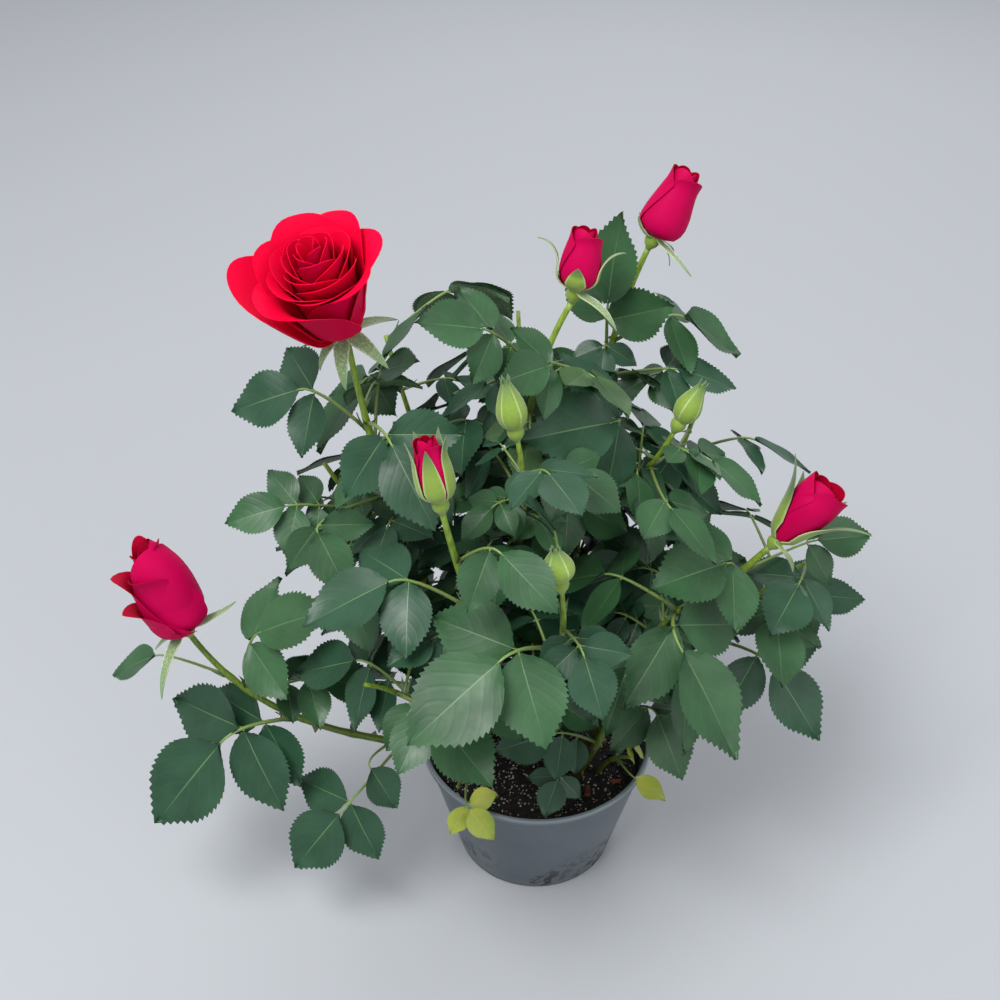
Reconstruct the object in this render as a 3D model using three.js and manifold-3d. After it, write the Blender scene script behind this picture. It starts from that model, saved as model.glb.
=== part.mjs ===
// A miniature rose in its nursery pot: pot, soil, canes, leafy sprays and six red blooms.
// Millimetres, Z up. The origin is the centre of the pot's flat underside, and +Y points
// away from the side with the two low rim shoots.
import * as THREE from 'three';
import { mergeVertices } from 'three/addons/utils/BufferGeometryUtils.js';
import Module from 'manifold-3d';

const wasm = await Module();
wasm.setup();

// Pot: a thin tapered shell with a rolled rim.
const POT_HEIGHT = 72;
const POT_RIM_RADIUS = 60;
const POT_BASE_RADIUS = 41;
const POT_WALL = 1.3;
const POT_FLOOR = 1.8;
const POT_FACETS = 32;
const RIM_DEPTH = 3.4;
const RIM_STEP = 0.9;

// Soil: a plug that fills the pot to a little below the rim.
const SOIL_LEVEL = 62;
const SOIL_EDGE_DROP = 2.5;
const SOIL_FLAT_RADIUS = 42;

// Clearances and leaf proportions.
const GAP = 0.3;
const SLIVER = 0.04;
const CANE_SIDES = 6;
const LIMB_STEPS = 9;
const LEAF_WIDTH = 0.64;
const NECK = 0.24;
const OUTWARD_ROLL = 34;
const LEAF_THICKNESS = 0.5;
const LEAF_FOLD = 0.07;
const LEAF_CURL = 0.12;
const STALK_RADIUS = 0.75;
const PETAL_THICKNESS = 1.2;
const GOLDEN_ANGLE = 137.5;

// Crown space that the seeded leaves keep to: an egg round the canes.
const CROWN_CENTRE = [-4, 2, 192];
const CROWN_HALF = [138, 132, 148];
const CROWN_BELOW = 128;

const PLASTIC = { color: 0x5d6a78, roughness: 0.45, metalness: 0 };
const SOIL = { color: 0x1d1712, roughness: 0.95, metalness: 0 };
const BARK = { color: 0x3f4a2a, roughness: 0.7, metalness: 0 };
const FOLIAGE = { color: 0x2c4a35, roughness: 0.5, metalness: 0 };
const YELLOWING = { color: 0x8f9a34, roughness: 0.55, metalness: 0 };
const PETAL = { color: 0xb3062f, roughness: 0.5, metalness: 0 };

// One posed leaf: its place along its shoot, the heading, rise and reach of its stalk, how
// far its end leaflet turns and droops from that, the end leaflet's length, its pairs of
// side leaflets, and its roll about its own length.
function leaf(at, heading, rise, reach, turn, droop, size, pairs, roll = 0) {
  return { at, heading, rise, reach, turn, droop, size, pairs, roll };
}

// Shoots. A foot is a point on the soil or a place on another shoot. leave and arrive are
// the heading and rise at foot and tip, and bare is the share of the shoot below its spray.
// posed leaves come first, and fill says how many seeded ones follow, from where to where.
const SHOOTS = {
  rose: {
    foot: [-10, 5], leave: [168, 60], tip: [-83, -10, 313], arrive: [205, 84],
    thick: [2.4, 1.3], bare: 0.28,
    leaves: [
      leaf(0.8, 185, 50, 33, -10, 70, 35, 1, -35),
      leaf(0.76, 90, 45, 36, -45, 5, 31, 1),
      leaf(0.82, 285, 30, 47, 20, 70, 39, 1),
      leaf(0.66, 230, 15, 50, 80, 60, 29, 1),
      leaf(0.45, 240, 35, 30, -25, 50, 17, 1),
    ],
    fill: { from: 0.3, to: 0.76, count: 7, phase: 60, size: 34 },
  },
  left: {
    foot: [-24, -8], leave: [192, 36], tip: [-164, -30, 167], arrive: [182, 66],
    thick: [2.2, 1.4], bare: 0.3, grip: [0.25, 0.5],
    leaves: [
      leaf(0.66, 210, 20, 33, -5, 65, 55, 2, -40),
      leaf(0.82, 330, 85, 33, 15, 50, 42, 1, 20),
      leaf(0.87, 175, 25, 32, 0, 50, 28, 0),
      leaf(0.38, 150, 70, 33, 50, 30, 20, 1),
      leaf(0.34, 240, 0, 45, -35, 45, 39, 1, -30),
      leaf(0.37, 235, 25, 30, 95, 85, 27, 0),
    ],
    fill: { from: 0.5, to: 0.8, count: 3, phase: 80, size: 30 },
  },
  top_mid: {
    foot: [-2, 10], leave: [100, 84], tip: [12, 10, 320], arrive: [0, 62],
    thick: [2.4, 1.3], bare: 0.3,
    leaves: [
      leaf(0.84, 220, 50, 38, -15, 30, 31, 2, -40),
      leaf(0.82, 290, 35, 33, -65, 35, 28, 1, -20),
    ],
    fill: { from: 0.32, to: 0.8, count: 5, phase: 130, size: 36 },
  },
  top_right: {
    foot: [12, 14], leave: [60, 80], tip: [49, 60, 322], arrive: [0, 68],
    thick: [2.4, 1.3], bare: 0.32,
    leaves: [
      leaf(0.76, 260, 60, 34, 150, -25, 42, 1),
      leaf(0.8, 345, 40, 33, 25, 75, 38, 1, 30),
      leaf(0.73, 315, 30, 40, 45, 45, 30, 1, 35),
      leaf(0.65, 285, 30, 56, -65, 15, 51, 1, -25),
    ],
    fill: { from: 0.34, to: 0.86, count: 6, phase: 60, size: 36 },
  },
  right: {
    foot: [24, -2], leave: [345, 66], tip: [104, -20, 211], arrive: [0, 50],
    thick: [2.3, 1.5], bare: 0.24,
    leaves: [
      leaf(0.85, 260, 55, 28, -45, 45, 40, 1),
      leaf(0.88, 35, 0, 40, -25, 0, 28, 1, 35),
    ],
    fill: { from: 0.26, to: 0.82, count: 6, phase: 20, size: 36 },
  },
  centre: {
    foot: [-6, -14], leave: [255, 74], tip: [-42, -75, 270], arrive: [190, 80],
    thick: [2.2, 1.3], bare: 0.22,
    leaves: [
      leaf(0.62, 227, 34, 28, -15, 45, 23, 1),
    ],
    fill: { from: 0.24, to: 0.86, count: 5, phase: 150, size: 36 },
  },
  left_mid: {
    foot: [-22, 12], leave: [165, 62], tip: [-100, 8, 238], arrive: [172, 60],
    thick: [2.0, 1.0], bare: 0.24,
    leaves: [
      leaf(0.84, 220, 30, 34, -30, 40, 29, 2, -40),
      leaf(0.7, 245, 20, 45, 40, 60, 30, 1),
    ],
    fill: { from: 0.26, to: 0.99, count: 8, phase: 100, size: 33 },
  },
  back_left: {
    foot: [-10, 24], leave: [130, 66], tip: [-74, 68, 272], arrive: [135, 72],
    thick: [2.2, 1.0], bare: 0.24,
    leaves: [],
    fill: { from: 0.26, to: 0.99, count: 9, phase: 0, size: 38 },
  },
  back: {
    foot: [4, 28], leave: [85, 68], tip: [-10, 86, 276], arrive: [95, 72],
    thick: [2.2, 1.0], bare: 0.24,
    leaves: [],
    fill: { from: 0.26, to: 0.99, count: 9, phase: 50, size: 38 },
  },
  back_right: {
    foot: [22, 20], leave: [50, 64], tip: [82, 64, 246], arrive: [45, 64],
    thick: [2.2, 1.0], bare: 0.24,
    leaves: [
      leaf(0.8, 350, 30, 33, 0, 55, 33, 1),
    ],
    fill: { from: 0.26, to: 0.99, count: 7, phase: 90, size: 38 },
  },
  front_right: {
    foot: [20, -20], leave: [318, 64], tip: [60, -54, 202], arrive: [300, 50],
    thick: [2.0, 1.0], bare: 0.2,
    leaves: [
      leaf(0.97, 250, 15, 16, 65, 60, 53, 1),
    ],
    fill: { from: 0.22, to: 0.99, count: 6, phase: 200, size: 34 },
  },
  front_left: {
    foot: [-24, -24], leave: [228, 62], tip: [-78, -76, 178], arrive: [215, 34],
    thick: [2.0, 1.0], bare: 0.2,
    leaves: [],
    fill: { from: 0.22, to: 0.99, count: 6, phase: 110, size: 34 },
  },
  green_a: {
    foot: ['top_mid', 0.42], leave: [262, 55], tip: [-12, -40, 282], arrive: [180, 78],
    thick: [1.5, 1.1], bare: 0, leaves: [],
    fill: { from: 0.3, to: 0.8, count: 4, phase: 210, size: 32 },
  },
  green_b: {
    foot: ['top_right', 0.46], leave: [330, 50], tip: [59, 0, 261], arrive: [10, 68],
    thick: [1.5, 1.1], bare: 0,
    leaves: [
      leaf(0.71, 270, 15, 42, 40, 35, 31, 1),
      leaf(0.89, 315, 15, 19, 20, 40, 29, 1),
    ],
    fill: { from: 0.35, to: 0.8, count: 3, phase: 300, size: 32 },
  },
  green_d: {
    foot: ['centre', 0.3], leave: [300, 50], tip: [6, -85, 238], arrive: [180, 82],
    thick: [1.5, 1.0], bare: 0,
    leaves: [
      leaf(0.86, 70, 60, 34, 130, 5, 28, 1),
      leaf(0.66, 237, 42, 40, -27, 72, 50, 1),
    ],
    fill: { from: 0.3, to: 0.8, count: 3, phase: 330, size: 30 },
  },
  right_low: {
    foot: ['right', 0.36], leave: [350, 36], tip: [132, 14, 176], arrive: [10, 26],
    thick: [1.5, 1.0], bare: 0,
    leaves: [
      leaf(0.53, 10, 20, 34, -10, 25, 30, 1, 35),
      leaf(0.4, 330, 15, 31, -5, 55, 42, 1, 40),
    ],
    fill: { from: 0.35, to: 0.99, count: 5, phase: 60, size: 34 },
  },
  rim_left: {
    foot: [-30, -24], leave: [225, 70], tip: [-40, -50, 86], arrive: [250, 10],
    thick: [1.3, 0.8], bare: 0,
    leaves: [
      leaf(0.5, 265, 20, 28, 65, 65, 20, 1),
    ],
    fill: { from: 0.5, to: 1, count: 1, phase: 180, size: 16 },
    yellow: true,
  },
  rim_right: {
    foot: [32, -18], leave: [320, 75], tip: [46, -32, 88], arrive: [330, 20],
    thick: [1.3, 0.8], bare: 0,
    leaves: [
      leaf(0.7, 290, 10, 14, 40, 30, 18, 0),
    ],
    fill: { from: 0.6, to: 1, count: 1, phase: 80, size: 18 },
    yellow: true,
  },
  rim_front: {
    foot: [6, -32], leave: [280, 75], tip: [14, -42, 84], arrive: [290, 20],
    thick: [1.3, 0.8], bare: 0,
    leaves: [
      leaf(0.6, 275, 60, 14, -35, 105, 19, 1),
    ],
    fill: { from: 0.6, to: 1, count: 1, phase: 20, size: 18 },
  },
};

// Heads. kind is open, half, bud or green; axis is the heading and rise that it faces;
// length and radius are its petals' size, and sepals the angle their tips lie at from it.
const HEADS = {
  rose: { kind: 'open', axis: [236, 68], length: 41, radius: 18, sepal: 22, spread: 110, bend: 0.3 },
  left: { kind: 'half', axis: [175, 72], length: 40, radius: 13, sepal: 22, spread: 100, bend: 0.35 },
  top_right: { kind: 'bud', axis: [14, 65], length: 35, radius: 10, sepal: 18, spread: 85, bend: 0.2 },
  top_mid: { kind: 'bud', axis: [40, 78], length: 28, radius: 8, sepal: 22, spread: 42, bend: 0.2 },
  right: { kind: 'bud', axis: [5, 54], length: 38, radius: 12, sepal: 24, spread: 62, bend: 0 },
  centre: { kind: 'bud', axis: [145, 77], length: 32, radius: 8, sepal: 27, spread: 33, bend: -0.34 },
  green_a: { kind: 'green', axis: [150, 78], length: 23, radius: 6.5, sepal: 0, spread: 0, bend: 0 },
  green_b: { kind: 'green', axis: [10, 64], length: 21, radius: 6, sepal: 0, spread: 0, bend: 0 },
  green_d: { kind: 'green', axis: [150, 80], length: 17, radius: 5, sepal: 0, spread: 0, bend: 0 },
};
const HIP = { length: 7, radius: 3.6, top: 3.1 };

const UP = new THREE.Vector3(0, 0, 1);

// The unit vector with this heading and rise, in degrees.
function polar(heading, rise) {
  const turn = THREE.MathUtils.degToRad(heading);
  const lift = THREE.MathUtils.degToRad(rise);
  return new THREE.Vector3(
    Math.cos(turn) * Math.cos(lift), Math.sin(turn) * Math.cos(lift), Math.sin(lift));
}

// A solid from corner points and triangles whose corners run anticlockwise from outside.
function closedBody(points, faces) {
  const vertProperties = new Float32Array(points.flatMap((p) => [p.x, p.y, p.z]));
  const triVerts = new Uint32Array(faces.flat());
  return new wasm.Manifold(new wasm.Mesh({ numProp: 3, vertProperties, triVerts }));
}

// A solid from a closed three.js geometry: corners merged and empty triangles dropped.
function solidOf(geometry) {
  geometry.deleteAttribute('normal');
  geometry.deleteAttribute('uv');
  const merged = mergeVertices(geometry, 1e-4);
  const index = merged.index.array;
  const kept = [];
  for (let i = 0; i < index.length; i += 3) {
    const [a, b, c] = [index[i], index[i + 1], index[i + 2]];
    if (a !== b && b !== c && c !== a) {
      kept.push(a, b, c);
    }
  }
  const vertProperties = new Float32Array(merged.attributes.position.array);
  const triVerts = new Uint32Array(kept);
  return new wasm.Manifold(new wasm.Mesh({ numProp: 3, vertProperties, triVerts }));
}

// The largest connected skin of a solid, which seals trapped hollows and drops loose
// scraps, with the slivers that joining leaves along its seams merged away.
function outerSkin(solid) {
  const skins = solid.asOriginal().simplify(SLIVER).decompose();
  return skins.reduce((best, skin) => (skin.volume() > best.volume() ? skin : best));
}

function joined(solids) {
  return solids.reduce((whole, solid) => whole.add(solid));
}

// A round solid turned about Z from a profile of [radius, height] that starts and ends on
// the axis, then moved so that Z runs along the given axis from the given base.
function turned(profile, facets, base = new THREE.Vector3(), axis = UP) {
  const outline = profile.map(([radius, height]) => new THREE.Vector2(radius, height));
  const geometry = new THREE.LatheGeometry(outline, facets);
  geometry.rotateX(Math.PI / 2);
  geometry.applyQuaternion(new THREE.Quaternion().setFromUnitVectors(UP, axis));
  geometry.translate(base.x, base.y, base.z);
  return solidOf(geometry);
}

// A tapering limb along a line of points, with a radius for each.
function limb(points, radii, sides, levelFoot = false) {
  const corners = [];
  const faces = [];
  let across = new THREE.Vector3(1, 0, 0);
  points.forEach((point, i) => {
    const before = points[Math.max(i - 1, 0)];
    const after = points[Math.min(i + 1, points.length - 1)];
    const along = i === 0 && levelFoot ? UP.clone() : after.clone().sub(before).normalize();
    if (i === 0 && Math.abs(along.x) > 0.9) {
      across = new THREE.Vector3(0, 1, 0);
    }
    across = across.clone().addScaledVector(along, -across.dot(along)).normalize();
    const beside = along.clone().cross(across);
    for (let k = 0; k < sides; k += 1) {
      const angle = (2 * Math.PI * k) / sides;
      corners.push(point.clone()
        .addScaledVector(across, radii[i] * Math.cos(angle))
        .addScaledVector(beside, radii[i] * Math.sin(angle)));
    }
  });
  const last = (points.length - 1) * sides;
  for (let ring = 0; ring < last; ring += sides) {
    for (let k = 0; k < sides; k += 1) {
      const next = (k + 1) % sides;
      faces.push([ring + k, ring + next, ring + sides + next]);
      faces.push([ring + k, ring + sides + next, ring + sides + k]);
    }
  }
  for (let k = 1; k < sides - 1; k += 1) {
    faces.push([0, k + 1, k]);
    faces.push([last, last + k, last + k + 1]);
  }
  return closedBody(corners, faces);
}

// One leaflet: a pointed blade, thickest along its midrib, folded up a little along it and
// curling down towards its tip.
function leaflet(base, along, normal, length, width, curl, fold, thickness) {
  const across = normal.clone().cross(along);
  const at = (x, y, lift) => base.clone()
    .addScaledVector(along, x * length)
    .addScaledVector(across, y * width)
    .addScaledVector(normal, lift + fold * Math.abs(y) * width - curl * length * x * x);
  const corners = [
    at(0, 0, 0), at(0.22, -0.42, 0), at(0.62, -0.43, 0),
    at(1, 0, 0), at(0.62, 0.43, 0), at(0.22, 0.42, 0),
    at(0.42, 0, thickness), at(0.42, 0, -thickness),
  ];
  const faces = [];
  for (let k = 0; k < 6; k += 1) {
    faces.push([k, (k + 1) % 6, 6], [(k + 1) % 6, k, 7]);
  }
  return closedBody(corners, faces);
}

// A point on a shoot's centre line, at a share of the way from its foot to its tip.
function pointOn(name, share) {
  const shoot = SHOOTS[name];
  if (!shoot.curve) {
    const tip = new THREE.Vector3(...shoot.tip);
    const onShoot = typeof shoot.foot[0] === 'string';
    const foot = onShoot
      ? pointOn(shoot.foot[0], shoot.foot[1])
      : new THREE.Vector3(shoot.foot[0], shoot.foot[1], SOIL_LEVEL);
    const reach = tip.distanceTo(foot);
    const [hold, pull] = shoot.grip ?? [0.33, 0.3];
    const leave = foot.clone().addScaledVector(polar(...shoot.leave), reach * hold);
    const arrive = tip.clone().addScaledVector(polar(...shoot.arrive), reach * -pull);
    shoot.curve = new THREE.CubicBezierCurve3(foot, leave, arrive, tip);
    shoot.reach = reach;
  }
  return shoot.curve.getPoint(share);
}

function limbRadius(name, share) {
  const [foot, tip] = SHOOTS[name].thick;
  return foot + (tip - foot) * share;
}

// The length of shoot between two shares, as a limb whose ends are cut square.
function shootLimb(name, from, to, sides, levelFoot) {
  const steps = Math.max(3, Math.round(LIMB_STEPS * (to - from)));
  const points = [];
  const radii = [];
  for (let i = 0; i <= steps; i += 1) {
    const share = from + ((to - from) * i) / steps;
    points.push(pointOn(name, share));
    radii.push(limbRadius(name, share));
  }
  return limb(points, radii, sides, levelFoot);
}

// How far a side shoot's stem starts from the centre line of the shoot that carries it.
function standOff(shoot) {
  const [parent, share] = shoot.foot;
  const angle = SHOOTS[parent].curve.getTangent(share).angleTo(polar(...shoot.leave));
  return (limbRadius(parent, share) + GAP) / Math.sin(angle)
    + shoot.thick[0] / Math.abs(Math.tan(angle));
}

// A compound leaf as one closed body: a stalk to the joint, an end leaflet, and pairs of
// side leaflets. Its upper and lower skins share one rim. from is the share of the stalk
// that is left out, and shift moves the leaf along its normal, both to feel for neighbours.
function compoundLeaf(base, pose, shift = 0, from = 0) {
  const corners = [];
  const faces = [];
  const add = (point) => corners.push(point) - 1;
  const skin = (a, b, c) => {
    faces.push([a, b, c].map((corner) => corner.over ?? corner));
    faces.push([c, b, a].map((corner) => corner.under ?? corner));
  };
  const heading = pose.heading + pose.turn;
  const out = polar(pose.heading, pose.rise);
  const end = polar(heading, pose.rise - pose.droop);
  const beside = polar(heading + 90, 0);
  const start = base.clone();
  const joint = base.clone().addScaledVector(out, pose.reach);
  const outward = Math.atan2(joint.y - CROWN_CENTRE[1], joint.x - CROWN_CENTRE[0]);
  const facing = Math.sin(outward - THREE.MathUtils.degToRad(heading));
  const roll = THREE.MathUtils.degToRad(pose.roll - OUTWARD_ROLL * facing);
  const side = beside.clone().multiplyScalar(Math.cos(roll))
    .addScaledVector(end.clone().cross(beside), Math.sin(roll));
  const normal = end.clone().cross(side);

  const station = (centre, along, reach, half) => {
    const level = side.clone().addScaledVector(along, -side.dot(along)).normalize();
    const above = along.clone().cross(level);
    const corner = (hand, forward) => add(centre.clone()
      .addScaledVector(level, hand * half).addScaledVector(along, forward * reach));
    return {
      right: corner(-1, -1),
      left: corner(1, -1),
      rightFront: reach > 0 ? corner(-1, 1) : null,
      leftFront: reach > 0 ? corner(1, 1) : null,
      centre: {
        over: add(centre.clone().addScaledVector(above, half)),
        under: add(centre.clone().addScaledVector(above, -half)),
      },
    };
  };
  const stalk = (foot, head) => {
    skin(foot.right, head.right, head.centre);
    skin(foot.right, head.centre, foot.centre);
    skin(foot.centre, head.centre, head.left);
    skin(foot.centre, head.left, foot.left);
  };
  const blade = (centre, origin, along, size, first, final) => {
    const top = normal.clone().addScaledVector(along, -normal.dot(along)).normalize();
    const across = top.clone().cross(along);
    const at = (x, y, lift) => add(origin.clone()
      .addScaledVector(along, x * size)
      .addScaledVector(across, y * size * LEAF_WIDTH)
      .addScaledVector(top, lift + (LEAF_FOLD * Math.abs(y) - LEAF_CURL * x * x) * size));
    const edge = [first, at(0.2, -0.4, 0), at(0.6, -0.44, 0), at(1, 0, 0),
      at(0.6, 0.44, 0), at(0.2, 0.4, 0), final];
    const ridge = { over: at(0.42, 0, LEAF_THICKNESS), under: at(0.42, 0, -LEAF_THICKNESS) };
    for (let k = 0; k < 6; k += 1) {
      skin(edge[k], edge[k + 1], ridge);
    }
    skin(final, centre, ridge);
    skin(centre, first, ridge);
  };

  start.addScaledVector(normal, shift);
  joint.addScaledVector(normal, shift);
  const root = start.clone().lerp(joint, from);
  const neck = joint.clone().addScaledVector(end, pose.size * NECK);
  let last = station(root, out, 0, STALK_RADIUS);
  skin(last.left, last.right, last.centre);
  for (let pair = pose.pairs - 1; pair >= 0; pair -= 1) {
    const centre = start.clone().lerp(joint, 1 - 0.36 * pair);
    const next = station(centre, pair === 0 ? end : out, 0.8, STALK_RADIUS);
    stalk(last, next);
    const splay = THREE.MathUtils.degToRad(64 + 6 * pair);
    const size = pose.size * (0.8 - 0.16 * pair);
    for (const hand of [-1, 1]) {
      const along = end.clone().multiplyScalar(Math.cos(splay))
        .addScaledVector(side, hand * Math.sin(splay))
        .addScaledVector(normal, -0.14)
        .normalize();
      const [near, far] = hand < 0 ? [next.right, next.rightFront] : [next.leftFront, next.left];
      const origin = centre.clone().addScaledVector(along, STALK_RADIUS);
      blade(next.centre, origin, along, size, near, far);
    }
    last = { right: next.rightFront, left: next.leftFront, centre: next.centre };
  }
  const tip = station(neck, end, 0, STALK_RADIUS * 0.8);
  stalk(last, tip);
  blade(tip.centre, neck, end, pose.size, tip.right, tip.left);
  return closedBody(corners, faces);
}

// The seeded series that varies the leaves: a Lehmer generator.
let seed = 20407;
function chance(low, high) {
  seed = (seed * 16807) % 2147483647;
  return low + ((high - low) * seed) / 2147483647;
}

// The seeded leaves of a shoot, wound round it by the golden angle.
function fillPoses(fill) {
  const poses = [];
  for (let i = 0; i < fill.count; i += 1) {
    const at = fill.from + ((fill.to - fill.from) * i) / Math.max(fill.count - 1, 1);
    const heading = fill.phase + GOLDEN_ANGLE * i + chance(-14, 14);
    const rise = chance(22, 46);
    const size = fill.size * chance(0.85, 1.15);
    const reach = size * chance(0.75, 1.05);
    const turn = chance(-25, 25);
    const droop = rise + chance(8, 44);
    const pairs = chance(0, 1) < 0.3 ? 2 : 1;
    poses.push(leaf(at, heading, rise, reach, turn, droop, size, pairs, chance(-18, 18)));
  }
  return poses;
}

// Everything placed so far, each with the node that it belongs to.
const placed = [];
function place(node, solid, stemOf = null) {
  placed.push({ node, solid, box: solid.boundingBox(), stemOf });
}

function boxesMeet(a, b) {
  return [0, 1, 2].every((k) => a.min[k] < b.max[k] + GAP && b.min[k] < a.max[k] + GAP);
}

// Whether a solid runs into anything placed, leaving out the stem that it grows from.
function touches(solid, ownStem = null) {
  const box = solid.boundingBox();
  return placed.some((other) => (ownStem === null || other.stemOf !== ownStem)
    && boxesMeet(box, other.box) && !solid.intersect(other.solid).isEmpty());
}

function insideCrown(pose, base) {
  const tip = base.clone()
    .addScaledVector(polar(pose.heading, pose.rise), pose.reach)
    .addScaledVector(polar(pose.heading + pose.turn, pose.rise - pose.droop), pose.size * (1 + NECK));
  const [x, y, z] = tip.toArray().map((value, k) => value - CROWN_CENTRE[k]);
  const half = z < 0 ? CROWN_BELOW : CROWN_HALF[2];
  return (x / CROWN_HALF[0]) ** 2 + (y / CROWN_HALF[1]) ** 2 + (z / half) ** 2 < 1;
}

// A leaf that keeps clear of everything placed, tried at the pose and then swung aside.
const SWINGS = [
  [0, 0], [8, 0], [-8, 0], [0, 8], [0, -8], [16, 4], [-16, 4], [30, 6], [-30, 6], [48, 0], [-48, 0],
];
function addLeaf(name, pose, seeded) {
  const base = pointOn(name, pose.at);
  for (const [swing, lift] of SWINGS) {
    const tried = { ...pose, heading: pose.heading + swing, rise: pose.rise + lift };
    if (seeded && !insideCrown(tried, base)) {
      continue;
    }
    const clear = [0, 0.45, -0.45].every((shift) => !touches(compoundLeaf(base, tried, shift), name)
      && !touches(compoundLeaf(base, tried, shift, 0.45)));
    if (clear) {
      const whole = compoundLeaf(base, tried);
      place(name, whole);
      return whole;
    }
  }
  return null;
}

// A point on a petal: side runs from -1 to 1 across it and rise from 0 at its seat to 1 at
// its lip. The petal flares from its seat, stands at its lean, and its lip rolls outwards.
function petalPoint(petal, side, rise) {
  const top = rise * (1 - 0.16 * side * side);
  const steps = 16;
  let radius = petal.seat;
  let height = 0.7;
  for (let i = 0; i < steps; i += 1) {
    const share = (top * (i + 0.5)) / steps;
    const flare = petal.flare * Math.max(0, 1 - share / 0.3);
    const roll = petal.lip * Math.max(0, (share - 0.65) / 0.35);
    const angle = THREE.MathUtils.degToRad(petal.lean + flare + roll);
    radius += (Math.sin(angle) * petal.length * top) / steps;
    height += (Math.cos(angle) * petal.length * top) / steps;
  }
  const widening = 0.3 + 0.7 * Math.sin((Math.PI / 2) * Math.min(rise / 0.7, 1));
  const rounding = Math.sqrt(1 - 0.7 * Math.max(0, (rise - 0.7) / 0.3) ** 2);
  const spread = (0.5 * petal.width * widening * rounding) / Math.max(radius + 3, 6);
  const turn = THREE.MathUtils.degToRad(petal.turn) + side * spread;
  const wound = radius + petal.wind * side;
  return new THREE.Vector3(wound * Math.cos(turn), wound * Math.sin(turn), height);
}

// A petal as a closed body of two curved skins that share one rim.
function petalBody(petal, frame) {
  const columns = 4;
  const rows = 3;
  const corners = [];
  const inner = [];
  const outer = [];
  for (let row = 0; row <= rows; row += 1) {
    for (let column = 0; column <= columns; column += 1) {
      const side = -1 + (2 * column) / columns;
      const rise = row / rows;
      const point = petalPoint(petal, side, rise);
      const beside = petalPoint(petal, side + 0.05, rise).sub(petalPoint(petal, side - 0.05, rise));
      const above = petalPoint(petal, side, rise + 0.03).sub(petalPoint(petal, side, rise - 0.03));
      const normal = beside.cross(above).setLength(PETAL_THICKNESS / 2);
      if (row % rows === 0 || column % columns === 0) {
        outer.push(corners.push(point.applyMatrix4(frame)) - 1);
        inner.push(corners.length - 1);
      } else {
        outer.push(corners.push(point.clone().add(normal).applyMatrix4(frame)) - 1);
        inner.push(corners.push(point.sub(normal).applyMatrix4(frame)) - 1);
      }
    }
  }
  const faces = [];
  for (let row = 0; row < rows; row += 1) {
    for (let column = 0; column < columns; column += 1) {
      const near = row * (columns + 1) + column;
      const far = near + columns + 1;
      faces.push([outer[near], outer[near + 1], outer[far + 1]]);
      faces.push([outer[near], outer[far + 1], outer[far]]);
      faces.push([inner[near], inner[far + 1], inner[near + 1]]);
      faces.push([inner[near], inner[far], inner[far + 1]]);
    }
  }
  return closedBody(corners, faces);
}

// The rings of petals of an opening rose, from the tight heart to the loose outer petals.
const RINGS = {
  open: [
    { count: 3, seat: 3, flare: 76, lean: 18, lip: 45, length: 45, width: 46, phase: 10 },
    { count: 3, seat: 3, flare: 80, lean: 22, lip: 60, length: 48, width: 48, phase: 75 },
    { count: 1, seat: 3, flare: 80, lean: 27, lip: 45, length: 53, width: 50, phase: 185 },
  ],
  half: [
    { count: 3, seat: 3, flare: 70, lean: 5, lip: 55, length: 42, width: 38, phase: 60 },
    { count: 2, seat: 3, flare: 74, lean: 14, lip: 50, length: 38, width: 38, phase: 180 },
  ],
};

function scaled(profile, radius, length) {
  return profile.map(([across, up]) => [across * radius, up * length]);
}
const BUD = [[0, 0], [0.5, 0], [0.86, 0.16], [1, 0.36], [0.88, 0.62], [0.6, 0.86], [0.25, 1], [0, 1]];
const HEART = [[0, 0], [0.35, 0], [0.9, 0.25], [1, 0.6], [1, 0.86], [0.6, 0.94], [0, 0.9]];
const GREEN = [[0, 0], [0.4, 0], [0.8, 0.14], [0.72, 0.3], [1, 0.46], [0.8, 0.72], [0.3, 0.92], [0, 1]];

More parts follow.
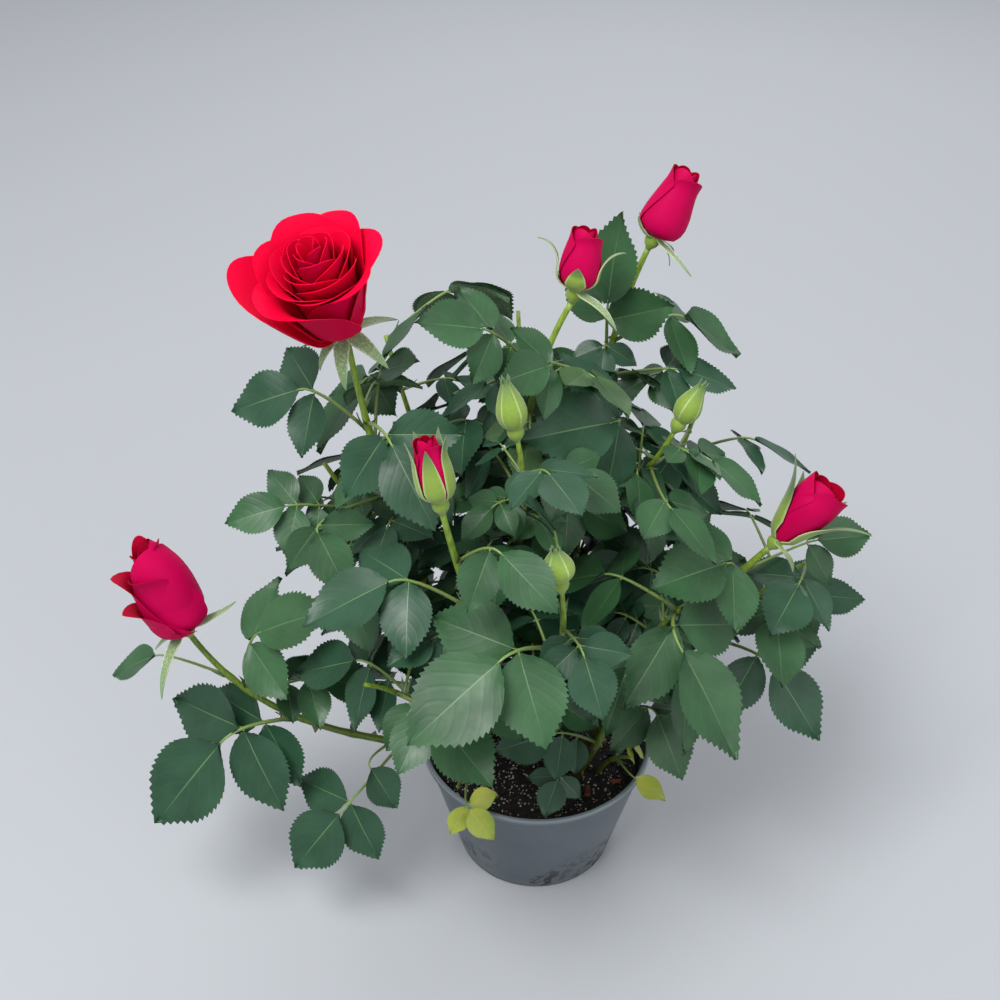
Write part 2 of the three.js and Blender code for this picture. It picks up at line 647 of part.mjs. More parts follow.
// A head: its hip and sepals, fused to the shoot's tip, and its petals, seated on the hip.
function addHead(name) {
  const head = HEADS[name];
  const axis = polar(...head.axis);
  const base = pointOn(name, 1).addScaledVector(axis, -1.2);
  if (head.kind === 'green') {
    return { calyx: turned(scaled(GREEN, head.radius, head.length), 8, base, axis), petals: null };
  }
  const hip = turned([
    [0, 0], [1.2, 0], [HIP.radius, HIP.length * 0.5], [HIP.top, HIP.length], [0, HIP.length],
  ], 8, base, axis);
  const turn = new THREE.Quaternion().setFromUnitVectors(UP, axis);
  const seat = base.clone().addScaledVector(axis, HIP.length + GAP);
  const sepals = (extra, shift) => {
    const blades = [];
    for (let k = 0; k < 5; k += 1) {
      const around = polar(72 * k + 20, 0).applyQuaternion(turn);
      const open = THREE.MathUtils.degToRad(head.spread);
      const direction = axis.clone().multiplyScalar(Math.cos(open)).addScaledVector(around, Math.sin(open));
      const normal = axis.clone().multiplyScalar(Math.sin(open)).addScaledVector(around, -Math.cos(open));
      const root = base.clone()
        .addScaledVector(axis, HIP.length - 0.9)
        .addScaledVector(around, HIP.top - 0.9)
        .addScaledVector(normal, shift);
      blades.push(leaflet(
        root, direction, normal, head.sepal + extra, 6 + extra, head.bend, 0.25, 0.5 + extra / 2));
    }
    return blades;
  };
  const calyx = joined([hip, ...sepals(0, 0)]);
  const frame = new THREE.Matrix4().compose(seat, turn, new THREE.Vector3(1, 1, 1));
  let petals;
  if (head.kind === 'bud') {
    petals = turned(scaled(BUD, head.radius, head.length), 10, seat, axis);
  } else {
    petals = turned(scaled(HEART, head.radius, head.length * 0.92), 10, seat, axis);
    for (const ring of RINGS[head.kind]) {
      for (let k = 0; k < ring.count; k += 1) {
        const petal = { ...ring, turn: ring.phase + (360 * k) / ring.count, wind: 1.1 };
        petals = petals.add(petalBody(petal, frame));
      }
    }
  }
  if (head.spread < 70) {
    sepals(1, 0).forEach((blade) => {
      petals = petals.subtract(blade);
    });
  }
  return { calyx, petals: outerSkin(petals) };
}

const plant = new THREE.Group();

function addMesh(name, solid, look) {
  const { numProp, vertProperties, triVerts } = solid.getMesh();
  const geometry = new THREE.BufferGeometry();
  const positions = new Float32Array((vertProperties.length / numProp) * 3);
  for (let i = 0; i < positions.length / 3; i += 1) {
    positions.set(vertProperties.subarray(i * numProp, i * numProp + 3), i * 3);
  }
  geometry.setAttribute('position', new THREE.BufferAttribute(positions, 3));
  geometry.setIndex(new THREE.BufferAttribute(new Uint32Array(triVerts), 1));
  geometry.computeVertexNormals();
  const mesh = new THREE.Mesh(geometry, new THREE.MeshStandardMaterial(look));
  mesh.name = name;
  plant.add(mesh);
}

// The pot, and the soil that fills it to just under its rim.
const slope = (POT_RIM_RADIUS - RIM_STEP - POT_BASE_RADIUS) / POT_HEIGHT;
const wallRadius = (height) => POT_BASE_RADIUS + slope * height;
const rimFoot = POT_HEIGHT - RIM_DEPTH;
const pot = turned([
  [0, 0],
  [POT_BASE_RADIUS - 1, 0],
  [wallRadius(1.2), 1.2],
  [wallRadius(rimFoot), rimFoot],
  [POT_RIM_RADIUS, rimFoot + 0.6],
  [POT_RIM_RADIUS, POT_HEIGHT - 0.5],
  [POT_RIM_RADIUS - 0.5, POT_HEIGHT],
  [wallRadius(POT_HEIGHT) - POT_WALL, POT_HEIGHT],
  [wallRadius(POT_FLOOR) - POT_WALL, POT_FLOOR],
  [0, POT_FLOOR],
], POT_FACETS);
const soilRadius = (height) => wallRadius(height) - POT_WALL - GAP;
const soil = turned([
  [0, POT_FLOOR + GAP],
  [soilRadius(POT_FLOOR + GAP), POT_FLOOR + GAP],
  [soilRadius(SOIL_LEVEL - SOIL_EDGE_DROP), SOIL_LEVEL - SOIL_EDGE_DROP],
  [SOIL_FLAT_RADIUS, SOIL_LEVEL],
  [0, SOIL_LEVEL],
], POT_FACETS);
place('pot', pot);
place('soil', soil);
addMesh('pot', pot, PLASTIC);
addMesh('soil', soil, SOIL);

// Limbs: each shoot's bare cane, and the stem that carries its spray.
const sprays = {};
for (const [name, shoot] of Object.entries(SHOOTS)) {
  pointOn(name, 0);
  if (shoot.bare > 0) {
    const cane = shootLimb(name, GAP / shoot.reach, shoot.bare, CANE_SIDES, true);
    addMesh(`cane_${name}`, cane, BARK);
    place(`cane_${name}`, cane);
  }
  const onSoil = typeof shoot.foot[0] === 'number';
  const start = shoot.bare + (onSoil ? GAP : standOff(shoot)) / shoot.reach;
  sprays[name] = [shootLimb(name, start, 1, 5, onSoil && shoot.bare === 0)];
  place(name, sprays[name][0], name);
}
for (const name of Object.keys(HEADS)) {
  const { calyx, petals } = addHead(name);
  sprays[name].push(calyx);
  place(name, calyx);
  if (petals !== null) {
    addMesh(`bloom_${name}`, petals, PETAL);
    place(`bloom_${name}`, petals);
  }
}

// Leaves: the posed ones first, then the seeded ones, one from each shoot in turn.
const fills = {};
for (const [name, shoot] of Object.entries(SHOOTS)) {
  for (const pose of shoot.leaves) {
    const solid = addLeaf(name, pose, false);
    if (solid !== null) {
      sprays[name].push(solid);
    }
  }
  fills[name] = fillPoses(shoot.fill);
}
for (let turn = 0; turn < 9; turn += 1) {
  for (const name of Object.keys(SHOOTS)) {
    const pose = fills[name][turn];
    const solid = pose ? addLeaf(name, pose, true) : null;
    if (solid !== null) {
      sprays[name].push(solid);
    }
  }
}
for (const [name, solids] of Object.entries(sprays)) {
  addMesh(`spray_${name}`, outerSkin(joined(solids)), SHOOTS[name].yellow ? YELLOWING : FOLIAGE);
}

export default plant;
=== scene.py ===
"""A miniature red rose bush in its nursery pot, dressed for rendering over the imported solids.

The plant is grown again by the rule that its solids follow: the same shoots, the same posed
leaves and the same seeded series. Each leaf is kept where the solids have it and is carried
finer, with toothed leaflets, veins, curved stalks and stipules, and smaller leaves fill the
crown between them. Lengths in the rule are in millimetres and angles in degrees. Every piece
is in metres in the row's frame, with its place in its mesh.
"""

import logging
import math
from dataclasses import dataclass, replace
from enum import Enum
from functools import partial
from typing import Callable, Iterator, Sequence

import bmesh
import bpy
import numpy as np
from bmesh.types import BMesh, BMFace
from bpy.types import Material, Mesh, Node, NodeSocket, NodeTree, Object
from mathutils import Matrix, Quaternion, Vector, noise
from mathutils.kdtree import KDTree


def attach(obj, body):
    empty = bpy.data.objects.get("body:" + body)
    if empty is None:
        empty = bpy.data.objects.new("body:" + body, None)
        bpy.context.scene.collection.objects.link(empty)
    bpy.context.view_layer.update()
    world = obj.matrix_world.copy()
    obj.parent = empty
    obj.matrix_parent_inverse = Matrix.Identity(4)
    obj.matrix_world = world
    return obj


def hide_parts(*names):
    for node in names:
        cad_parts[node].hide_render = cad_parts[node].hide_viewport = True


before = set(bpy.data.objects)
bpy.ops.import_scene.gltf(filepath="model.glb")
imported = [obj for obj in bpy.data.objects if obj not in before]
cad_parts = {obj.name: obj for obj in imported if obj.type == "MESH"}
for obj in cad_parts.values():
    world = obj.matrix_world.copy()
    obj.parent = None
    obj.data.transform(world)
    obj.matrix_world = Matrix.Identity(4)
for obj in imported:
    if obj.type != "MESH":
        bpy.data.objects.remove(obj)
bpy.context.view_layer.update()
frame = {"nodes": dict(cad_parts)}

LOG = logging.getLogger("rose_bush")
MM = 0.001
UNITS = tuple(Vector(unit) for unit in ((1, 0, 0), (0, 1, 0), (0, 0, 1)))
UP = UNITS[2]
SHARP = math.radians(70)
# How many short steps a petal or sepal is bent in.
BENDS = 14
# A limb's points and a radius for each.
Limb = tuple[list[Vector], list[float]]

# What the solids share with this script, in millimetres, degrees and shares.
POT_HEIGHT = 72.0
POT_RIM_RADIUS = 60.0
POT_BASE_RADIUS = 41.0
POT_WALL = 1.3
POT_FLOOR = 1.8
RIM_DEPTH = 3.4
RIM_STEP = 0.9
SOIL_LEVEL = 62.0
SOIL_EDGE_DROP = 2.5
SOIL_FLAT_RADIUS = 42.0
GAP = 0.3
NECK = 0.24
OUTWARD_ROLL = 34.0
LEAF_CURL = 0.12
GOLDEN_ANGLE = 137.5
CROWN_CENTRE = (-4.0, 2.0, 192.0)
CROWN_HALF = (138.0, 132.0, 148.0)
CROWN_BELOW = 128.0
SEED = 20407
# A leaf that would touch something is swung aside and lifted by these, tried in this order.
SWINGS = ((0, 0), (8, 0), (-8, 0), (0, 8), (0, -8), (16, 4), (-16, 4), (30, 6), (-30, 6),
          (48, 0), (-48, 0))
HIP_LENGTH = 7.0
HIP_TOP = 3.1


def linear(code: str) -> tuple[float, float, float, float]:
    """Turns an sRGB hex colour into the linear colour that a shader takes.

    Args:
        code: the colour, such as "#2f5a3c".

    Returns:
        Red, green, blue and an alpha of 1.
    """
    values = [int(code[i:i + 2], 16) / 255 for i in (1, 3, 5)]
    red, green, blue = (v / 12.92 if v <= 0.04045 else ((v + 0.055) / 1.055) ** 2.4 for v in values)
    return red, green, blue, 1.0


def added(name: str, data: bpy.types.ID) -> Object:
    """Adds an object with some data to the scene."""
    holder = bpy.data.objects.new(name, data)
    bpy.context.scene.collection.objects.link(holder)
    return holder


def polar(heading: float, rise: float) -> Vector:
    """The unit vector with this heading and rise, in degrees."""
    turn, lift = math.radians(heading), math.radians(rise)
    return Vector((math.cos(turn) * math.cos(lift), math.sin(turn) * math.cos(lift),
                   math.sin(lift)))


def wire(tree: NodeTree, node: Node, settings: dict | None = None,
         links: dict | None = None) -> Node:
    """Sets and links a shader node.

    Args:
        tree: the material's node tree.
        node: the node.
        settings: values for its properties, and for its inputs by name or number. A colour
            ramp takes "stops", a row of places from 0 to 1 with their sRGB colours.
        links: for its inputs, by name or number, the node or output that feeds each.

    Returns:
        The node.
    """
    for key, value in (settings or {}).items():
        if key == "stops":
            while len(node.color_ramp.elements) < len(value):
                node.color_ramp.elements.new(1.0)
            for element, (place, code) in zip(node.color_ramp.elements, value):
                element.position, element.color = place, linear(code)
        elif isinstance(key, str) and hasattr(node, key):
            setattr(node, key, value)
        else:
            node.inputs[key].default_value = value
    for key, source in (links or {}).items():
        output = source.outputs[0] if isinstance(source, Node) else source
        tree.links.new(output, node.inputs[key])
    return node


def add_node(tree: NodeTree, kind: str, settings: dict | None = None,
             links: dict | None = None) -> Node:
    """Adds one shader node.

    Args:
        tree: the material's node tree.
        kind: the node's Blender type, without the ShaderNode that it starts with.
        settings: as wire takes them.
        links: as wire takes them.

    Returns:
        The new node.
    """
    return wire(tree, tree.nodes.new(f"ShaderNode{kind}"), settings, links)


def blank_material(name: str) -> tuple[Material, Callable, Callable]:
    """Starts a material.

    Args:
        name: its name.

    Returns:
        The material, what adds a node to it, and what sets and links its Principled shader.
    """
    material = bpy.data.materials.new(name)
    material.use_nodes = True
    tree = material.node_tree
    return material, partial(add_node, tree), partial(wire, tree, tree.nodes["Principled BSDF"])


def off_middle(node: Callable, value: Node | NodeSocket) -> Node:
    """How far a value from 0 to 1 is off its middle: 0 there and 1 at both ends."""
    doubled = node("Math", {"operation": "MULTIPLY_ADD", 1: 2.0, 2: -1.0}, {0: value})
    return node("Math", {"operation": "ABSOLUTE"}, {0: doubled})


@dataclass(frozen=True)
class LeafCuticle:
    """Upper side of a rose leaflet: a thin wax skin over dark tissue.

    The wax gives a broad soft sheen. The side veins are sunk and a little paler, and the
    tissue swells between them, so the light breaks up along each leaflet.
    """

    VEIN_PAIRS = 6.0

    name: str
    tissue: str
    shade: str
    vein: str

    def material(self) -> Material:
        """Builds the cuticle with veins drawn along the leaflet's own UV map."""
        material, node, shader = blank_material(self.name)
        split = node("SeparateXYZ", links={"Vector": node("UVMap", {"uv_map": "UVMap"})})
        bowed = node("Math", {"operation": "POWER", 1: 1.25},
                     {0: off_middle(node, split.outputs["Y"])})
        sweep = node("Math", {"operation": "MULTIPLY", 1: -2.3}, {0: bowed})
        slanted = node("Math", {"operation": "MULTIPLY_ADD", 1: self.VEIN_PAIRS},
                       {0: split.outputs["X"], 2: sweep})
        ridge = off_middle(node, node("Math", {"operation": "FRACT"}, {0: slanted}))
        vein = node("MapRange", {"From Min": 0.9, "From Max": 1.0, "To Max": 0.22},
                    {"Value": ridge})
        swell = node("MapRange", {"interpolation_type": "SMOOTHSTEP", "From Min": 1.0,
                                  "From Max": 0.5}, {"Value": ridge})
        spot = node("TexCoord").outputs["Object"]
        cloud = node("TexNoise", {"Scale": 42.0, "Detail": 3.0}, {"Vector": spot})
        blade = node("ValToRGB", {"stops": ((0.34, self.shade), (0.68, self.tissue))},
                     {"Fac": cloud})
        veined = node("Mix", {"data_type": "RGBA", 7: linear(self.vein)}, {0: vein, 6: blade})
        patch = node("TexNoise", {"Scale": 110.0, "Detail": 3.0}, {"Vector": spot})
        rough = node("MapRange", {"From Min": 0.3, "From Max": 0.7, "To Min": 0.34,
                                  "To Max": 0.5}, {"Value": patch})
        bump = node("Bump", {"Strength": 0.06, "Distance": 0.6 * MM}, {"Height": swell})
        shader({"Specular IOR Level": 0.36},
               {"Base Color": veined.outputs[2], "Roughness": rough, "Normal": bump})
        return material


@dataclass(frozen=True)
class LeafRib:
    """Midrib or young stalk: watery green tissue, paler and a little glossier than the blade."""

    name: str
    colour: str
    tip_colour: str

    def material(self) -> Material:
        """Builds the rib, which darkens towards the leaflet's tip along its UV map."""
        material, node, shader = blank_material(self.name)
        split = node("SeparateXYZ", links={"Vector": node("UVMap", {"uv_map": "UVMap"})})
        colour = node("ValToRGB", {"stops": ((0.05, self.colour), (0.85, self.tip_colour))},
                      {"Fac": split.outputs["X"]})
        shader({"Roughness": 0.42}, {"Base Color": colour})
        return material


@dataclass(frozen=True)
class LeafUnderside:
    """Underside of a rose leaflet: matt olive, with no wax and finely netted veins."""

    name: str
    tissue: str
    net: str

    def material(self) -> Material:
        """Builds the underside with a net of veins about 1.6 mm apart."""
        material, node, shader = blank_material(self.name)
        net = node("TexVoronoi", {"feature": "DISTANCE_TO_EDGE", "Scale": 600.0},
                   {"Vector": node("TexCoord").outputs["Object"]})
        vein = node("MapRange", {"From Max": 0.12, "To Min": 1.0, "To Max": 0.0},
                    {"Value": net.outputs["Distance"]})
        base = node("ValToRGB", {"stops": ((0.0, self.tissue), (1.0, self.net))}, {"Fac": vein})
        bump = node("Bump", {"Strength": 0.6, "Distance": 0.15 * MM}, {"Height": vein})
        shader({"Roughness": 0.62}, {"Base Color": base, "Normal": bump})
        return material


@dataclass(frozen=True)
class StemSkin:
    """Rose stem: fresh green skin that greys and browns as it turns to bark low down."""

    name: str
    low: str
    middle: str
    high: str
    low_mm: float
    high_mm: float
    relief_mm: float

    def material(self) -> Material:
        """Builds the skin, graded by height, with lengthwise flecks about 1 mm wide."""
        material, node, shader = blank_material(self.name)
        spot = node("TexCoord").outputs["Object"]
        split = node("SeparateXYZ", links={"Vector": spot})
        height = node("MapRange", {"From Min": self.low_mm * MM, "From Max": self.high_mm * MM},
                      {"Value": split.outputs["Z"]})
        cloud = node("TexNoise", {"Scale": 55.0, "Detail": 3.0}, {"Vector": spot})
        drift = node("Math", {"operation": "MULTIPLY_ADD", 1: 0.5, 2: -0.25}, {0: cloud})
        graded = node("Math", {"operation": "ADD"}, {0: height, 1: drift})
        skin = node("ValToRGB", {"stops": ((0.0, self.low), (0.45, self.middle),
                                           (1.0, self.high))}, {"Fac": graded})
        squeeze = node("Mapping", {"Scale": (1.0, 1.0, 0.22)}, {"Vector": spot})
        fleck = node("TexNoise", {"Scale": 900.0, "Detail": 4.0}, {"Vector": squeeze})
        dark = node("ValToRGB", {"stops": ((0.36, "#8a8458"), (0.6, "#ffffff"))}, {"Fac": fleck})
        toned = node("Mix", {"data_type": "RGBA", "blend_type": "MULTIPLY", "Factor": 0.5},
                     {6: skin, 7: dark})
        bump = node("Bump", {"Strength": 0.7, "Distance": self.relief_mm * MM}, {"Height": fleck})
        shader({"Roughness": 0.44}, {"Base Color": toned.outputs[2], "Normal": bump})
        return material


@dataclass(frozen=True)
class PetalVelvet:
    """Rose petal: pigmented cells that stand up like velvet.

    They deepen the colour where light comes straight on and give a soft bloom along turned
    edges. The flesh under them is a little translucent, and its glow at thin lips is painted: the
    lip is painted brighter, and the seat darker as painted shade deep in the flower.
    """

    name: str
    # The lip is painted brighter as a painted glow and the seat darker as painted shade deep in the
    # flower; the body is the petal's own red.
    lip: str
    body: str
    seat: str

    def material(self) -> Material:
        """Builds the petal, graded along its UV map from painted shade at the seat
        to a painted glow at the lip, with fine long veins.
        """
        material, node, shader = blank_material(self.name)
        uv = node("UVMap", {"uv_map": "UVMap"})
        split = node("SeparateXYZ", links={"Vector": uv})
        cloud = node("TexNoise", {"Scale": 70.0, "Detail": 3.0},
                     {"Vector": node("TexCoord").outputs["Object"]})
        drift = node("Math", {"operation": "MULTIPLY_ADD", 1: 0.3, 2: -0.15}, {0: cloud})
        graded = node("Math", {"operation": "ADD"}, {0: split.outputs["Y"], 1: drift})
        # Painted shade at the seat, the petal's own red, then a painted glow at the lip.
        colour = node("ValToRGB", {"stops": ((0.05, self.seat), (0.5, self.body),
                                             (0.97, self.lip))}, {"Fac": graded})
        stretched = node("Mapping", {"Scale": (60.0, 3.0, 1.0)}, {"Vector": uv})
        veins = node("TexNoise", {"Scale": 1.0, "Detail": 3.0}, {"Vector": stretched})
        bump = node("Bump", {"Strength": 0.35, "Distance": 0.4 * MM}, {"Height": veins})
        shader({"Roughness": 0.55, "Specular IOR Level": 0.05, "Sheen Weight": 0.03,
                "Sheen Roughness": 0.45, "Sheen Tint": linear("#ff3a6a"),
                "Subsurface Weight": 0.04, "Subsurface Radius": (1.0, 0.12, 0.1),
                "Subsurface Scale": 4.0 * MM}, {"Base Color": colour, "Normal": bump})
        return material


@dataclass(frozen=True)
class SepalFelt:
    """Sepal and hip: pale green tissue under a fine white down, thickest along the edges.

    The tips are leafy and turn as dark as the leaves.
    """

    name: str
    middle: str
    edge: str
    tip: str
    tuft: float

    def material(self) -> Material:
        """Builds the felt, paler towards the edges of the UV map, with down 0.8 mm apart."""
        material, node, shader = blank_material(self.name)
        split = node("SeparateXYZ", links={"Vector": node("UVMap", {"uv_map": "UVMap"})})
        edge = node("MapRange", {"From Min": 0.78, "From Max": 1.05},
                    {"Value": off_middle(node, split.outputs["Y"])})
        down = node("TexNoise", {"Scale": 1300.0, "Detail": 2.0},
                    {"Vector": node("TexCoord").outputs["Object"]})
        tufts = node("MapRange", {"From Min": 0.42, "From Max": 0.62,
                                  "To Min": -0.6 * self.tuft, "To Max": self.tuft},
                     {"Value": down})
        share = node("Math", {"operation": "ADD", "use_clamp": True}, {0: edge, 1: tufts})
        colour = node("ValToRGB", {"stops": ((0.0, self.middle), (1.0, self.edge))}, {"Fac": share})
        leafy = node("MapRange", {"From Min": 0.52, "From Max": 0.95, "To Max": 0.88},
                     {"Value": split.outputs["X"]})
        ended = node("Mix", {"data_type": "RGBA", 7: linear(self.tip)}, {0: leafy, 6: colour})
        bump = node("Bump", {"Strength": 0.5, "Distance": 0.3 * MM}, {"Height": down})
        shader({"Roughness": 0.6, "Sheen Weight": 0.25},
               {"Base Color": ended.outputs[2], "Normal": bump})
        return material


@dataclass(frozen=True)
class PotPlastic:
    """Injection-moulded polypropylene: even slate colour, satin from a fine spark-eroded mould.

    Splashes of watering leave dried compost low down and dull the gloss there. The top of the
    rim is painted paler: partly rubbed wear, partly a painted highlight where it catches the light.
    """

    name: str
    colour: str
    scuffed: str
    dirt: str
    # The paler colour of the rim's top: partly rubbed wear, partly a painted highlight.
    rim_wear_and_highlight: str

    def material(self) -> Material:
        """Builds the plastic with faint scuffs and dried specks that thin out upwards."""
        material, node, shader = blank_material(self.name)
        spot = node("TexCoord").outputs["Object"]
        height = node("SeparateXYZ", links={"Vector": spot}).outputs["Z"]
        low = node("MapRange", {"From Max": 0.03, "To Min": 1.25, "To Max": 0.0}, {"Value": height})
        crumbs = node("TexNoise", {"Scale": 180.0, "Detail": 6.0}, {"Vector": spot})
        speck = node("MapRange", {"From Min": 0.47, "From Max": 0.55}, {"Value": crumbs})
        cloud = node("TexNoise", {"Scale": 38.0, "Detail": 2.0}, {"Vector": spot})
        patch = node("MapRange", {"From Min": 0.44, "From Max": 0.56}, {"Value": cloud})
        splashed = node("Math", {"operation": "MULTIPLY"}, {0: speck, 1: patch})
        dirty = node("Math", {"operation": "MULTIPLY"}, {0: splashed, 1: low})
        stain = node("Math", {"operation": "MULTIPLY", 1: 0.95}, {0: dirty})
        scuff = node("TexNoise", {"Scale": 25.0, "Detail": 4.0}, {"Vector": spot})
        clean = node("ValToRGB", {"stops": ((0.3, self.scuffed), (0.7, self.colour))},
                     {"Fac": scuff})
        # The top 2.6 mm of the rim is painted up to 55% paler: partly rubbed wear, partly a painted
        # highlight where the rim catches the light.
        rim = node("MapRange", {"From Min": 0.0692, "From Max": 0.0718, "To Max": 0.55},
                   {"Value": height})
        rim_wear_and_highlight = node("Mix", {"data_type": "RGBA", 7: linear(self.rim_wear_and_highlight)}, {0: rim, 6: clean})
        soiled = node("Mix", {"data_type": "RGBA", 7: linear(self.dirt)},
                      {0: stain, 6: rim_wear_and_highlight.outputs[2]})
        rough = node("Math", {"operation": "MULTIPLY_ADD", 1: 0.4, 2: 0.32}, {0: dirty})
        mould = node("TexNoise", {"Scale": 830.0, "Detail": 2.0}, {"Vector": spot})
        bump = node("Bump", {"Strength": 0.5, "Distance": 0.05 * MM}, {"Height": mould})
        shader(links={"Base Color": soiled.outputs[2], "Roughness": rough, "Normal": bump})
        return material


@dataclass(frozen=True)
class Grit:
    """Moist compost or a crumb in it: crumbly and matt, coloured darker where its bump is lower."""

    name: str
    light: str
    dark: str
    grain_mm: float
    relief_mm: float = 0.5
    roughness: float = 0.88

    def material(self) -> Material:
        """Builds the grit, blotched at its grain size."""
        material, node, shader = blank_material(self.name)
        grain = node("TexNoise", {"Scale": 1000.0 / self.grain_mm, "Detail": 5.0},
                     {"Vector": node("TexCoord").outputs["Object"]})
        # Colour and bump share one noise, so the low parts of the bump are darker.
        colour = node("ValToRGB", {"stops": ((0.35, self.dark), (0.66, self.light))},
                      {"Fac": grain})
        bump = node("Bump", {"Strength": 0.8, "Distance": self.relief_mm * MM}, {"Height": grain})
        shader({"Roughness": self.roughness}, {"Base Color": colour, "Normal": bump})
        return material


@dataclass(frozen=True)
class PaleBoard:
    """Painted studio floor: a matt pale sheet with no pattern of its own."""

    name: str = "pale painted board"
    colour: str = "#a9acb0"

    def material(self) -> Material:
        """Builds the paint."""
        material, _, shader = blank_material(self.name)
        shader({"Base Color": linear(self.colour), "Roughness": 0.9})
        return material


class Tone(Enum):
    """How old a leaf is, which sets its colours."""

    DEEP = 0
    MIDDLE = 1
    FRESH = 2
    YELLOW = 3


@dataclass(frozen=True)
class LeafPose:
    """A leaf's place along its shoot and the angles and lengths that pose it."""

    at: float
    heading: float
    rise: float
    reach: float
    turn: float
    droop: float
    size: float
    pairs: int
    roll: float = 0.0

    def swung(self, swing: float, lift: float) -> "LeafPose":
        """The same leaf with its stalk swung aside and lifted."""
        return replace(self, heading=self.heading + swing, rise=self.rise + lift)


@dataclass(frozen=True)
class FillRule:
    """Where a shoot's seeded leaves start and stop, how many, and their first turn and size."""

    start: float
    stop: float
    count: int
    phase: float
    size: float


def table(kind: type, *rows: tuple[float, ...]) -> tuple:
    """Rows of numbers, each made into a record of one kind."""
    return tuple(kind(*row) for row in rows)


def bezier(a: Vector, b: Vector, c: Vector, d: Vector, share: float) -> Vector:
    """The point at a share of the way along a curve with four handles."""
    rest = 1.0 - share
    return a * rest ** 3 + b * 3 * rest ** 2 * share + c * 3 * rest * share ** 2 + d * share ** 3


@dataclass(frozen=True)
class Shoot:
    """One shoot, from the soil or from a place on another shoot, as a smooth tapering curve."""

    name: str
    leave: tuple[float, float]
    tip: tuple[float, float, float]
    arrive: tuple[float, float]
    thick: tuple[float, float]
    bare: float
    fill: FillRule
    posed: tuple[LeafPose, ...] = ()
    foot: tuple[float, float] = (0.0, 0.0)
    on: tuple[str, float] | None = None
    grip: tuple[float, float] = (0.33, 0.3)
    yellow: bool = False

    def handles(self) -> tuple[Vector, Vector, Vector, Vector]:
        """The four handles of the shoot's curve."""
        tip = Vector(self.tip)
        foot = (Vector((*self.foot, SOIL_LEVEL)) if self.on is None
                else SHOOTS[self.on[0]].point(self.on[1]))
        reach = (tip - foot).length
        leave = foot + polar(*self.leave) * reach * self.grip[0]
        arrive = tip - polar(*self.arrive) * reach * self.grip[1]
        return foot, leave, arrive, tip

    def point(self, share: float) -> Vector:
        """The point on the centre line at a share of the way from foot to tip."""
        return bezier(*self.handles(), share)

    def direction(self, share: float) -> Vector:
        """The unit direction of growth at a share of the way up."""
        ahead, behind = min(share + 0.01, 1.0), max(share - 0.01, 0.0)
        return (self.point(ahead) - self.point(behind)).normalized()

    def radius(self, share: float) -> float:
        """The stem's radius at a share of the way up."""
        return self.thick[0] + (self.thick[1] - self.thick[0]) * share

    def length(self) -> float:
        """The straight distance from foot to tip."""
        foot, _, _, tip = self.handles()
        return (tip - foot).length


